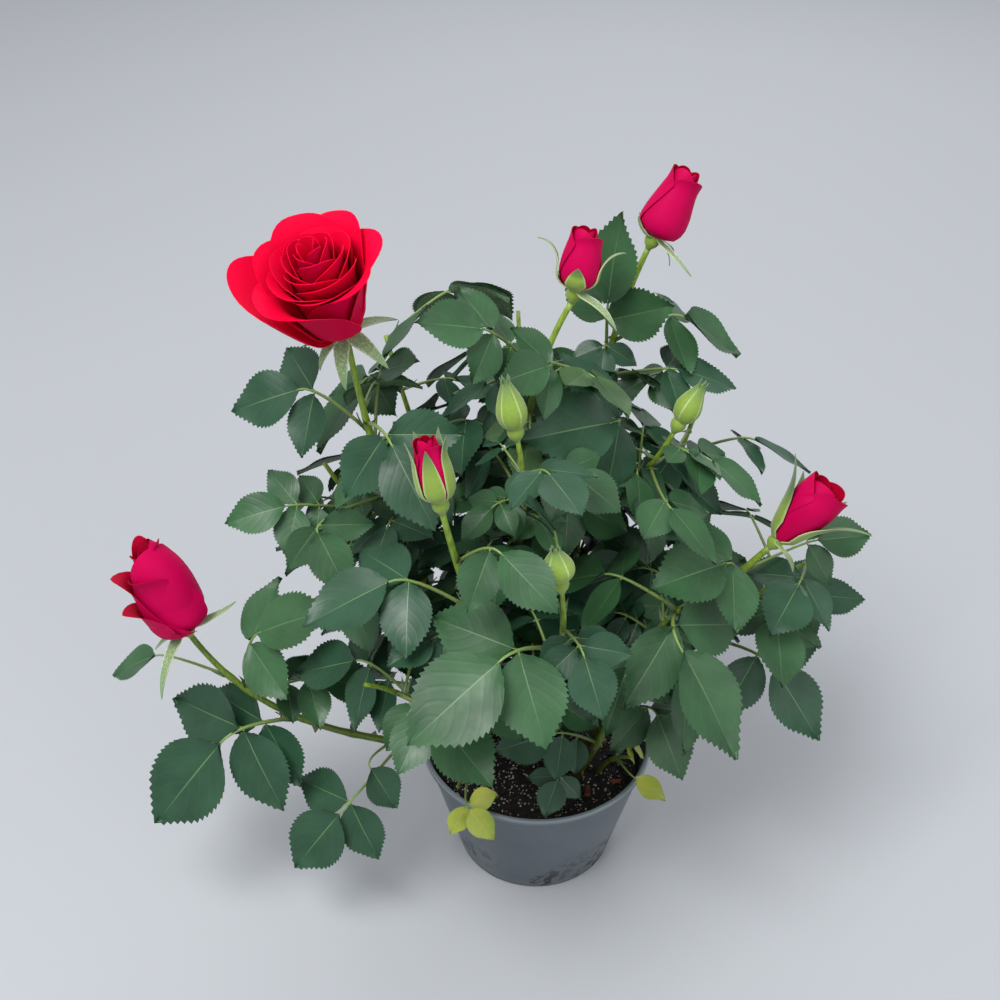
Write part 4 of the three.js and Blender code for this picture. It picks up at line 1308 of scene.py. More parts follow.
    def stalks(self) -> list[Limb]:
        """The curved stalks as lines of points with a radius for each."""
        lines = []
        for leaf in (*self._leaves, *self._inner):
            thick = 0.36 + leaf.size * 0.009
            shares = [step / self.STALK_STEPS for step in range(self.STALK_STEPS + 1)]
            lines.append(([leaf.stalk(share) for share in shares]
                          + [leaf.neck + leaf.end * leaf.size * 0.04],
                          [thick * (1.35 - 0.65 * share) for share in shares] + [thick * 0.5]))
            for centre, along, _ in self._side_leaflets(leaf):
                lines.append(([centre, centre + along * 1.0, centre + along * 2.6],
                              [thick * 0.8, thick * 0.7, thick * 0.5]))
        return lines

    def leaf_feet(self) -> dict[str, list[Vector]]:
        """The places of the leaves along each shoot."""
        return {name: [leaf.base for leaf in self._leaves if leaf.shoot == name] for name in SHOOTS}


def swept(name: str, lines: Sequence[Limb], sides: int, relief: float = 0.0) -> Mesh:
    """Sweeps round limbs along lines of points and joins them.

    Args:
        name: the mesh's name.
        lines: the limbs, in millimetres.
        sides: how many sides each limb has round it, an even number from 4 up.
        relief: how high the lengthwise ridges and knobs of bark stand, in millimetres.

    Returns:
        The limbs as one closed mesh in metres.
    """
    curve = bpy.data.curves.new(name, "CURVE")
    curve.dimensions = "3D"
    curve.bevel_depth = MM
    curve.bevel_resolution = (sides - 4) // 2
    curve.use_fill_caps = True
    curve.resolution_u = 1
    for points, radii in lines:
        spline = curve.splines.new("POLY")
        spline.points.add(len(points) - 1)
        for place, point, radius in zip(spline.points, points, radii):
            place.co = (*(point * MM), 1.0)
            place.radius = radius
    holder = added(name, curve)
    graph = bpy.context.evaluated_depsgraph_get()
    mesh = bpy.data.meshes.new_from_object(holder.evaluated_get(graph))
    bpy.data.objects.remove(holder)
    bm = bmesh.new()
    bm.from_mesh(mesh)
    bmesh.ops.remove_doubles(bm, verts=bm.verts, dist=1e-7)
    bmesh.ops.recalc_face_normals(bm, faces=bm.faces)
    for face in bm.faces:
        face.smooth = True
    if relief:
        bm.normal_update()
        for vertex in bm.verts:
            place = Vector((vertex.co.x * 900.0, vertex.co.y * 900.0, vertex.co.z * 180.0))
            vertex.co += vertex.normal * noise.noise(place) * relief * MM
    bm.to_mesh(mesh)
    bm.free()
    return mesh


class Stems:
    """The canes, the green stems that carry on from them, and their prickles."""

    STEPS = 46
    RELIEF = 0.16
    NODE_REACH = 2.6
    CANE_SIDES, STEM_SIDES, STALK_SIDES = 12, 10, 6
    # Shoots that start out thinner than this have no prickles.
    PRICKLED_RADIUS = 1.45
    # Where the prickles start and stop on a shoot, the gap between two and their length.
    PRICKLES_FROM, PRICKLES_TO = 0.06, 0.86
    PRICKLE_GAPS, PRICKLE_SIZES = (10, 26), (2.2, 4.4)

    def __init__(self, foliage: Foliage) -> None:
        """Takes the foliage, whose leaf feet swell the stems into nodes.

        Args:
            foliage: the leaves.
        """
        self._foliage = foliage
        self._series = SeededSeries(1013)

    def _line(self, shoot: Shoot, low: float, high: float,
              feet: Sequence[Vector]) -> Limb:
        """One stretch of a shoot, swelling at each leaf foot.

        Args:
            shoot: the shoot.
            low: the share of the way up it where the stretch starts.
            high: the share where it ends.
            feet: the places of the leaves along it.

        Returns:
            Its points and a radius for each.
        """
        steps = max(6, round(self.STEPS * (high - low)))
        points, radii = [], []
        for step in range(steps + 1):
            share = low + (high - low) * step / steps
            point = shoot.point(share)
            swell = sum(math.exp(-((point - foot).length / self.NODE_REACH) ** 2) for foot in feet)
            points.append(point)
            radii.append(shoot.radius(share) * (1.0 + 0.2 * min(swell, 1.3)))
        return points, radii

    def dress(self, bark: Material, skin: Material,
              stalk: Material, prickle: Material) -> list[Object]:
        """Builds the canes, stems, stalks and prickles.

        Args:
            bark: finish of the bare canes.
            skin: finish of the green stems.
            stalk: finish of the leaf stalks.
            prickle: finish of the prickles.

        Returns:
            The pieces.
        """
        feet = self._foliage.leaf_feet()
        grown = {name: shoot for name, shoot in SHOOTS.items() if shoot.bare > 0}
        canes = [self._line(shoot, GAP / shoot.length(), shoot.bare + 0.01, feet[name])
                 for name, shoot in grown.items()]
        greens = [self._line(shoot, shoot.bare, 1.0, feet[name]) for name, shoot in SHOOTS.items()]
        return [settle("canes", swept("canes", canes, self.CANE_SIDES, self.RELIEF), [bark],
                       [f"cane_{name}" for name in grown]),
                settle("stems", swept("stems", greens, self.STEM_SIDES, self.RELIEF), [skin]),
                settle("leaf_stalks", swept("leaf_stalks", self._foliage.stalks(),
                                            self.STALK_SIDES), [stalk]),
                self._thorned(prickle)]

    def _prickle(self) -> SmallShape:
        """A hooked prickle of unit length: a cone on a long foot, bent down."""
        bm = bmesh.new()
        bmesh.ops.create_cone(bm, cap_ends=True, segments=6, radius1=0.34, radius2=0.03, depth=1.0)
        bmesh.ops.translate(bm, vec=(0, 0, 0.5), verts=bm.verts)
        for vertex in bm.verts:
            if vertex.co.z > 0.5:
                vertex.co.y -= 0.42
            else:
                vertex.co.y *= 1.9
        return SmallShape.taken_from(bm)

    def _thorned(self, finish: Material) -> Object:
        """Sets prickles along the shoots, hooked downwards, thinning out towards the flowers.

        Args:
            finish: finish of the prickles.

        Returns:
            The piece.
        """
        shape = self._prickle()
        pile = JoinedShapes()
        for shoot in SHOOTS.values():
            if shoot.thick[0] < self.PRICKLED_RADIUS:
                continue
            share = self.PRICKLES_FROM
            while share < self.PRICKLES_TO:
                along = shoot.direction(share)
                turn = Quaternion(along, self._series.between(0, math.tau))
                out = (turn @ along.orthogonal()).normalized()
                size = self._series.between(*self.PRICKLE_SIZES) * (1.15 - 0.5 * share)
                origin = shoot.point(share) + out * shoot.radius(share) * 0.82
                pile.add(shape, origin, (out.cross(along) * -size * 0.8, along * size, out * size))
                share += self._series.between(*self.PRICKLE_GAPS) / shoot.length()
        return pile.build("prickles", [finish], "leaf")


def about_axis(bearing: float, radius: float, height: float) -> Vector:
    """The point at a bearing, in radians, a radius and a height."""
    return Vector((math.cos(bearing) * radius, math.sin(bearing) * radius, height))


@dataclass(frozen=True)
class PetalCut:
    """How a petal flares from its seat, leans and rolls its lip outwards, and how big it is.

    drop is how much lower the sides of its lip are than the middle, as a share of its length,
    roll is the share of the length from which the lip rolls, and point is how round the lip
    is: 1 runs it out to a corner.
    """

    flare: float
    lean: float
    lip: float
    length: float
    width: float
    seat: float = 3.0
    drop: float = 0.4
    curl: float = 1.0
    ruffle: float = 0.5
    roll: float = 0.65
    point: float = 2.6

    def place(self, side: float, rise: float, turn: float) -> Vector:
        """A point on the petal about the flower's own axis.

        Args:
            side: from -1 to 1 across the petal.
            rise: from 0 at its seat to 1 at its lip.
            turn: the way the petal faces, in radians.

        Returns:
            The point in millimetres, with the flower's seat at the origin and its axis up.
        """
        top = rise * (1 - self.drop * abs(side) ** self.point)
        radius, height = self.seat, 0.7
        for i in range(BENDS):
            share = top * (i + 0.5) / BENDS
            rolled = max(0.0, (share - self.roll) / (1 - self.roll)) ** 1.2
            angle = math.radians(self.lean + self.flare * max(0.0, 1 - share / 0.3)
                                 + self.lip * rolled)
            radius += math.sin(angle) * self.length * top / BENDS
            height += math.cos(angle) * self.length * top / BENDS
        widening = 0.34 + 0.66 * math.sin(math.pi / 2 * min(rise / 0.6, 1.0))
        spread = 0.5 * self.width * widening / max(radius + 2, 5)
        ripple = self.ruffle * rise ** 3 * math.sin(side * 6.0 + turn * 3.0)
        edge = self.curl * rise * abs(side) ** 5
        wound = radius + 1.1 * side + ripple + edge
        bearing = turn + side * min(spread, 2.6)
        return about_axis(bearing, wound, height + ripple * 0.5)


@dataclass(frozen=True)
class Swirl:
    """The tightly wound heart of an open flower: how many petals, its width, height and closing."""

    count: int
    widest: float
    length: float
    closing: float


@dataclass(frozen=True)
class FlowerForm:
    """An open flower: its heart, and its outer petals with the way each faces, in degrees."""

    swirl: Swirl
    outer: tuple[tuple[float, PetalCut], ...]


FORMS: dict[HeadKind, FlowerForm] = {
    HeadKind.OPEN: FlowerForm(Swirl(18, 15.5, 47.5, 0.0), (
        (108, PetalCut(60, 15, 34, 50, 50, curl=1.5)),
        (66, PetalCut(60, 15, 48, 49, 46, curl=2.0)),
        (24, PetalCut(62, 16, 74, 46, 46, curl=2.4)),
        (318, PetalCut(62, 13, 66, 44, 44, curl=2.2)),
        (272, PetalCut(62, 11, 46, 42, 50, curl=2.0)),
        (150, PetalCut(66, 18, 36, 47, 46, curl=1.6)),
        (166, PetalCut(72, 35, 8, 52, 44, curl=-3.0)),
        (214, PetalCut(66, 19, 60, 45, 56, curl=1.0)))),
    HeadKind.HALF: FlowerForm(Swirl(6, 4.2, 50, 14.0), (
        (104, PetalCut(98, -12, 44, 54, 36, drop=0.7, roll=0.8, point=2.0)),
        (30, PetalCut(84, 2, -37, 54, 58, roll=0.35)),
        (318, PetalCut(84, 3, -37, 53, 62, drop=0.5, curl=1.5, roll=0.35)),
        (250, PetalCut(92, -4, 40, 41, 56, seat=6, drop=0.55, ruffle=1.2, roll=0.78)),
        (190, PetalCut(90, -2, 72, 43, 50, seat=6, drop=0.7, curl=2.0, roll=0.7, point=1.5)),
        (216, PetalCut(88, 10, 78, 30, 46, seat=7, drop=0.7, curl=2.0, roll=0.65, point=1.5)))),
}


@dataclass(frozen=True)
class BudForm:
    """A bud against its solid: how wide and long it is, its outline and its petals.

    The outline is points of radius and height, each a share of the whole. layers gives how
    far out each petal lies, in millimetres, and how high it reaches.
    """

    width: float
    length: float
    outline: tuple[tuple[float, float], ...]
    layers: tuple[tuple[float, float], ...] = (
        (-1.5, 0.97), (-1.0, 0.99), (-0.55, 1.0), (-0.1, 0.985), (0.3, 0.965), (0.7, 0.92))


CONE = ((0.5, 0.0), (0.82, 0.04), (0.97, 0.12), (1.0, 0.22), (0.94, 0.38), (0.84, 0.54),
        (0.72, 0.72), (0.62, 0.86), (0.56, 0.94), (0.46, 1.0))
TULIP = ((0.34, 0.0), (0.44, 0.05), (0.62, 0.2), (0.82, 0.38), (0.95, 0.54), (1.0, 0.66),
         (0.96, 0.78), (0.87, 0.9), (0.76, 1.0))
SPINDLE = ((0.5, 0.0), (0.8, 0.08), (0.97, 0.2), (1.0, 0.34), (0.95, 0.52), (0.84, 0.7),
           (0.7, 0.86), (0.62, 0.94), (0.5, 1.0))
CLOSED = ((0.5, 0.0), (0.84, 0.1), (1.0, 0.27), (0.92, 0.42), (0.7, 0.6), (0.42, 0.78),
          (0.2, 0.92), (0.08, 1.0))
BUDS: dict[str, BudForm] = {
    "top_right": BudForm(0.97, 0.94, CONE),
    "top_mid": BudForm(0.93, 0.93, SPINDLE),
    "right": BudForm(0.88, 0.93, TULIP, ((-3.4, 0.9), (-2.6, 0.95), (-1.8, 0.97), (-1.0, 0.98),
                                         (-0.3, 0.96), (0.5, 0.95))),
    "centre": BudForm(0.76, 0.84, SPINDLE),
    "green_a": BudForm(0.92, 0.95, CLOSED),
    "green_b": BudForm(0.92, 0.95, CLOSED),
    "green_d": BudForm(1.25, 0.85, CLOSED),
}


@dataclass(frozen=True)
class SepalCut:
    """One sepal: the way it faces in degrees, its size, and its angles off the flower's axis.

    It hugs the bud over a share of the bud's length, then leans from its start to its end
    angle. An angle of 90 stands straight out. leafy says how early its tip turns leafy,
    and above 1 both its sides are bare of down.
    """

    bearing: float
    length: float
    width: float
    start: float
    end: float
    hug: float = 0.0
    leafy: float = 1.0


SEPALS: dict[str, tuple[SepalCut, ...]] = {
    "rose": table(SepalCut, (186, 17, 4.5, 95, 108), (218, 19, 6, 100, 160),
                  (262, 25, 7.5, 100, 168), (316, 24, 7.5, 98, 140), (22, 22, 6, 95, 130)),
    "left": table(SepalCut, (8, 25, 6.5, 88, 66), (80, 20, 5, 90, 90), (196, 16, 5.5, 92, 125),
                  (238, 34, 7, 105, 150), (302, 12, 7.5, 78, 50)),
    "top_right": table(SepalCut, (318, 24, 6, 96, 108), (352, 14, 5.5, 110, 160),
                       (40, 18, 5, 95, 120), (110, 18, 5, 90, 60), (200, 13, 6, 72, 24)),
    "top_mid": table(SepalCut, (262, 12, 9.5, 22, 8, 0.3), (176, 25, 6, 8, 95, 0.35),
                     (100, 24, 6, 12, 50, 0.35), (348, 24, 6, 10, 80, 0.35), (308, 28, 6, 84, 128)),
    "right": table(SepalCut, (174, 40, 13, 14, 46, 0.4, 1.6), (100, 30, 8, 20, 60, 0.4, 1.6),
                   (34, 34, 8, 30, 60, 0.3, 1.6), (318, 40, 13, 26, 66, 0.36, 1.6),
                   (268, 28, 6.5, 66, 96, 0.0, 1.5)),
    "centre": table(SepalCut, (270, 25, 8.8, 0, 4, 0.7), (200, 28, 8.2, 0, 16, 0.66),
                    (126, 28, 8.2, 0, 16, 0.66), (54, 28, 8.2, 0, 16, 0.66),
                    (336, 29, 8.2, 0, 32, 0.66)),
}


def profile_radius(profile: Sequence[tuple[float, float]], rise: float) -> float:
    """The radius of a turned profile at a height, with both as shares of the whole.

    Args:
        profile: points of radius and height, from the lowest up.
        rise: the height.

    Returns:
        The radius.
    """
    for (first, low), (second, high) in zip(profile, profile[1:]):
        if rise <= high:
            share = (rise - low) / (high - low)
            return first + (second - first) * share
    return profile[-1][0]


def spun(profile: Sequence[tuple[float, float]], segments: int) -> BMesh:
    """Turns a profile of radius and height into a solid of revolution.

    Args:
        profile: points of radius and height, the first and last on the axis.
        segments: how many steps it has round it.

    Returns:
        The solid, closed and facing outwards.
    """
    bm = bmesh.new()
    points = [bm.verts.new((across, 0.0, up)) for across, up in profile]
    edges = [bm.edges.new(pair) for pair in zip(points, points[1:])]
    bmesh.ops.spin(bm, geom=points + edges, cent=(0, 0, 0), axis=(0, 0, 1), angle=math.tau,
                   steps=segments, use_merge=True, use_duplicate=False)
    bmesh.ops.remove_doubles(bm, verts=bm.verts, dist=1e-4)
    bmesh.ops.recalc_face_normals(bm, faces=bm.faces)
    layer = bm.loops.layers.uv.verify()
    for loop in (loop for face in bm.faces for loop in face.loops):
        loop[layer].uv = (0.5, 0.5)
    return bm


class Bloom:
    """One flower on its hip: its petals, its sepals and the hip under them."""

    PETAL_THICKNESS = 0.28
    SEPAL_THICKNESS = 0.4
    # How many faces each petal and sepal has across it and from foot to tip.
    HEART_GRID, OUTER_GRID, BUD_GRID, SEPAL_GRID = (12, 10), (18, 16), (16, 16), (6, 14)
    HIP = ((0, 0), (1.25, 0), (1.8, 1.0), (3.0, 2.4), (3.6, 4.0), (3.5, 5.6),
           (HIP_TOP, HIP_LENGTH), (0, HIP_LENGTH))
    HIP_SEGMENTS, BUD_SEGMENTS = 16, 20
    SEATED = 1.2
    # The finish number of the bare green skin, after that of the downy one.
    SKIN = (1, 1, 1, 1)

    def __init__(self, name: str) -> None:
        """Finds where the flower sits on its shoot.

        Args:
            name: the shoot's name.
        """
        self.name = name
        self.plan = HEADS[name]
        self._axis = polar(*self.plan.axis)
        self._base = SHOOTS[name].point(1.0) - self._axis * self.SEATED
        self._seat = self._base + self._axis * (HIP_LENGTH + GAP)
        self._turn = UP.rotation_difference(self._axis).to_matrix().to_4x4()
        self._form = BUDS.get(name, BudForm(1.0, 1.0, CONE))
        self._wide = self.plan.radius * self._form.width
        self._long = self.plan.length * self._form.length
        self._cuts = SEPALS.get(name, tuple(
            SepalCut(72 * k + 54, self._long * 1.06, 1.45 * self._wide, 2, 8, 0.9)
            for k in range(5)))

    def _petal(self, bm: BMesh, place: Callable[[float, float], Vector],
               grid: tuple[int, int]) -> None:
        """Adds one petal, as a sheet with thickness.

        Args:
            bm: the mesh that it is added to.
            place: gives the point for a side from -1 to 1 and a rise from 0 to 1.
            grid: how many faces it has across it and from seat to lip.
        """
        layer = bm.loops.layers.uv.verify()
        made = bmesh.ops.create_grid(bm, x_segments=grid[0], y_segments=grid[1], size=1)["verts"]
        faces = list({face for vertex in made for face in vertex.link_faces})
        for loop in (loop for face in faces for loop in face.loops):
            loop[layer].uv = ((loop.vert.co.x + 1) / 2, (loop.vert.co.y + 1) / 2)
        for vertex in made:
            vertex.co = place(vertex.co.x, (vertex.co.y + 1) / 2)
        bm.normal_update()
        facing = sum(face.normal.dot(face.calc_center_median() * Vector((1, 1, 0)))
                     for face in faces)
        if facing > 0:
            bmesh.ops.reverse_faces(bm, faces=faces)
        grown = bmesh.ops.solidify(bm, geom=faces, thickness=self.PETAL_THICKNESS)["geom"]
        inside = set(faces)
        for face in (part for part in grown if isinstance(part, BMFace)):
            face.material_index = 0 if face in inside else 1
            # The rim of the sheet is new and takes the colour of the petal's upper part.
            if all(loop[layer].uv.length < 1e-6 for loop in face.loops):
                for loop in face.loops:
                    loop[layer].uv = (0.5, 0.8)

    def _swirl(self, swirl: Swirl) -> Iterator[tuple[float, PetalCut]]:
        """The heart's petals from the middle outwards, each with the way it faces, in degrees.

        Args:
            swirl: the heart.

        Yields:
            The way that each petal faces, and its cut.
        """
        inmost = 1.3
        for i in range(swirl.count):
            share = (i + 1) / swirl.count
            reach = inmost + (swirl.widest - inmost) * share
            length = swirl.length * (1.0 - 0.06 * share - swirl.closing * 0.012 * (1 - share))
            seat = 1.0 + 1.6 * share
            flare = 70.0 * min(1.0, max(0.0, reach - seat) / 8.0)
            turned = math.radians(flare)
            gain = 0.3 * length * (1 - math.cos(turned)) / turned if turned else 0.0
            slope = (reach - seat - gain) / (0.9 * length)
            yield GOLDEN_ANGLE * i + 40, PetalCut(
                flare, lean=math.degrees(math.asin(max(-0.1, min(0.6, slope)))),
                lip=(8 + 40 * share * share) - swirl.closing, length=length,
                width=max(3.2 * reach + 7.0, 12.0), seat=seat, drop=0.16 + 0.2 * share,
                curl=0.5 + share, ruffle=0.25 + 0.3 * share)

    def petals(self, finishes: Sequence[Material]) -> Object:
        """Builds the petals as one piece.

        Args:
            finishes: the finishes of the petals' inner and outer faces.

        Returns:
            The piece.
        """
        bm = bmesh.new()
        if self.plan.kind is HeadKind.BUD:
            self._bud(bm)
        else:
            form = FORMS[self.plan.kind]
            for cuts, grid in ((self._swirl(form.swirl), self.HEART_GRID),
                               (form.outer, self.OUTER_GRID)):
                for bearing, cut in cuts:
                    self._petal(bm, partial(cut.place, turn=math.radians(bearing)), grid)
        bmesh.ops.transform(bm, matrix=Matrix.Translation(self._seat) @ self._turn, verts=bm.verts)
        mesh = mesh_from(bm, f"petals_{self.name}")
        mesh.set_sharp_from_angle(angle=SHARP)
        return settle(f"petals_{self.name}", mesh, finishes, [f"bloom_{self.name}"])

    def _bud(self, bm: BMesh) -> None:
        """Wraps the petals of a bud round its core, each lapping over the next.

        Args:
            bm: the mesh that they are added to.
        """
        core = [(0.0, 0.8)] + [(max(across * self._wide - 1.8, 0.6), 0.8 + up * self._long * 0.86)
                               for across, up in self._form.outline] + [(0.0, self._long * 0.89)]
        heart = mesh_from(spun(core, self.BUD_SEGMENTS), "heart")
        heart.transform(Matrix.Scale(1 / MM, 4))
        bm.from_mesh(heart)
        bpy.data.meshes.remove(heart)
        for i, (layer, high) in enumerate(self._form.layers):
            turn = math.radians(GOLDEN_ANGLE * i - 110)
            self._petal(bm, partial(self._wrapped, turn=turn, layer=layer, high=high),
                        self.BUD_GRID)

    def _wrapped(self, side: float, rise: float, turn: float, layer: float, high: float) -> Vector:
        """A point on a petal that is wrapped round the bud, about the flower's own axis.

        Args:
            side: from -1 to 1 across the petal.
            rise: from 0 at its seat to 1 at its lip.
            turn: the way the petal faces, in radians.
            layer: how far out it lies.
            high: how high it reaches, as a share of the bud.

        Returns:
            The point in millimetres.
        """
        radius = self._wide
        up = rise * high * (1 - 0.22 * abs(side) ** 2.4)
        free = max(0.0, (rise - 0.78) / 0.22) ** 2
        out = radius * profile_radius(self._form.outline, up) + 0.5 * side + 0.35 * abs(side) ** 6
        out += layer * (0.4 + 0.6 * min(rise / 0.3, 1.0))
        out += free * (0.06 + 0.2 * max(layer, 0.0)) * radius * (1.2 - side * side)
        bearing = turn + side * 1.8 * (1 - 0.2 * rise) + 1.3 * rise
        return about_axis(bearing, max(out, 0.6), 0.7 + up * self._long * 0.985)

    def green_parts(self, pile: JoinedShapes) -> None:
        """Adds the hip, the sepals and the body of a green bud to a pile.

        Args:
            pile: the joined shapes of all the flowers' green parts.
        """
        axes = [self._turn.to_3x3() @ unit for unit in UNITS]
        top = self._seat - self._axis * GAP
        pile.add(SmallShape.taken_from(spun(self.HIP, self.HIP_SEGMENTS)), self._base, axes,
                 self.SKIN)
        if self.plan.kind is HeadKind.GREEN:
            body = [(0.0, 0.0)] + [(across * self._wide * 0.93, up * self._long * 0.96)
                                   for across, up in CLOSED] + [(0.0, self._long * 0.97)]
            pile.add(SmallShape.taken_from(spun(body, self.BUD_SEGMENTS)), top, axes, self.SKIN)
        for cut in self._cuts:
            pile.add(self._sepal(cut), top, axes)

    def _sepal(self, cut: SepalCut) -> SmallShape:
        """Models one sepal about the flower's axis, as a sheet with thickness.

        Args:
            cut: the sepal.

        Returns:
            The sepal in millimetres.
        """
        facing = math.radians(cut.bearing)
        bm = bmesh.new()
        layer = bm.loops.layers.uv.verify()
        bmesh.ops.create_grid(bm, x_segments=self.SEPAL_GRID[0], y_segments=self.SEPAL_GRID[1],
                              size=1)
        for loop in (loop for face in bm.faces for loop in face.loops):
            loop[layer].uv = (min(1.0, (loop.vert.co.y + 1) / 2 * cut.leafy),
                              (loop.vert.co.x + 1) / 2)
        for vertex in bm.verts:
            vertex.co = self._sepal_place(cut, vertex.co.x, (vertex.co.y + 1) / 2)
        bmesh.ops.recalc_face_normals(bm, faces=bm.faces)
        inside = set(bm.faces)
        if sum(face.normal.x * math.cos(facing) + face.normal.y * math.sin(facing)
               - face.normal.z for face in inside) > 0:
            bmesh.ops.reverse_faces(bm, faces=bm.faces)
        bmesh.ops.solidify(bm, geom=list(inside), thickness=self.SEPAL_THICKNESS)
        for face in bm.faces:
            face.material_index = 0 if face in inside and cut.leafy <= 1.0 else 1
        return SmallShape.taken_from(bm)

    def _sepal_place(self, cut: SepalCut, side: float, rise: float) -> Vector:
        """A point on a sepal about the flower's axis.

        Args:
            cut: the sepal.
            side: from -1 to 1 across the sepal.
            rise: from 0 at its foot to 1 at its tip.

        Returns:
            The point in millimetres above the top of the hip.
        """
        hugged = cut.hug * self._long
        up = min(rise * cut.length, hugged)
        free = rise * cut.length - up
        share = up / self._long
        out = self._wide * profile_radius(self._form.outline, share) + 0.3 + min(up * 0.5, 1.5)
        if not hugged:
            out, up = HIP_TOP - 0.6, -0.5
        elif self.plan.kind is HeadKind.GREEN:
            out -= min(up * 0.5, 1.5)
        for i in range(BENDS):
            gone = free / (cut.length - hugged) * (i + 0.5) / BENDS
            angle = cut.start + (cut.end - cut.start) * gone ** 1.3
            if not hugged:
                angle += (112 - cut.start) * max(0.0, 1 - gone / 0.22)
            angle = math.radians(angle)
            out += math.sin(angle) * free / BENDS
            up += math.cos(angle) * free / BENDS
        half = 0.5 * cut.width * min(1.0, 0.5 + 2.2 * rise) * (1 - rise ** 1.9) ** 0.9
        half += 0.3 * (1 - rise)
        turn = math.radians(cut.bearing) + side * min(half / max(out, 2.5), 1.15)
        return about_axis(turn, out, up + 0.15 * half * side * side)


@dataclass
class Pot:
    """The nursery pot, with the wall thickness, stepped rim and flat foot of the solids."""

    finish: Material
    segments: int = 96
    sharp: float = 50.0

    @staticmethod
    def wall_radius(height: float) -> float:
        """The outside radius of the tapered wall at a height."""
        slope = (POT_RIM_RADIUS - RIM_STEP - POT_BASE_RADIUS) / POT_HEIGHT
        return POT_BASE_RADIUS + slope * height

    def dress(self) -> Object:
        """Spins the pot.

        Returns:
            The pot's piece.
        """
        wall, step = self.wall_radius, POT_HEIGHT - RIM_DEPTH
        inside = wall(POT_HEIGHT) - POT_WALL
        foot = ((0, 0.9), (36.5, 0.9), (37.2, 0.2), (37.8, 0), (40, 0), (40.7, 0.35))
        outside = tuple((wall(height), height) for height in (1.2, 9, 30, 52, step))
        rim = ((POT_RIM_RADIUS - 0.35, step + 0.15), (POT_RIM_RADIUS, step + 0.6),
               (POT_RIM_RADIUS, POT_HEIGHT - 0.6), (POT_RIM_RADIUS - 0.25, POT_HEIGHT - 0.15),
               (POT_RIM_RADIUS - 0.6, POT_HEIGHT), (inside + 0.5, POT_HEIGHT),
               (inside + 0.1, POT_HEIGHT - 0.2), (inside - 0.05, POT_HEIGHT - 0.7))
        hollow = ((wall(40) - POT_WALL, 40), (wall(POT_FLOOR) - POT_WALL, POT_FLOOR),
                  (0, POT_FLOOR))
        mesh = mesh_from(spun(foot + outside + rim + hollow, self.segments), "pot")
        mesh.set_sharp_from_angle(angle=math.radians(self.sharp))
        return settle("pot_shell", mesh, [self.finish], ["pot"])


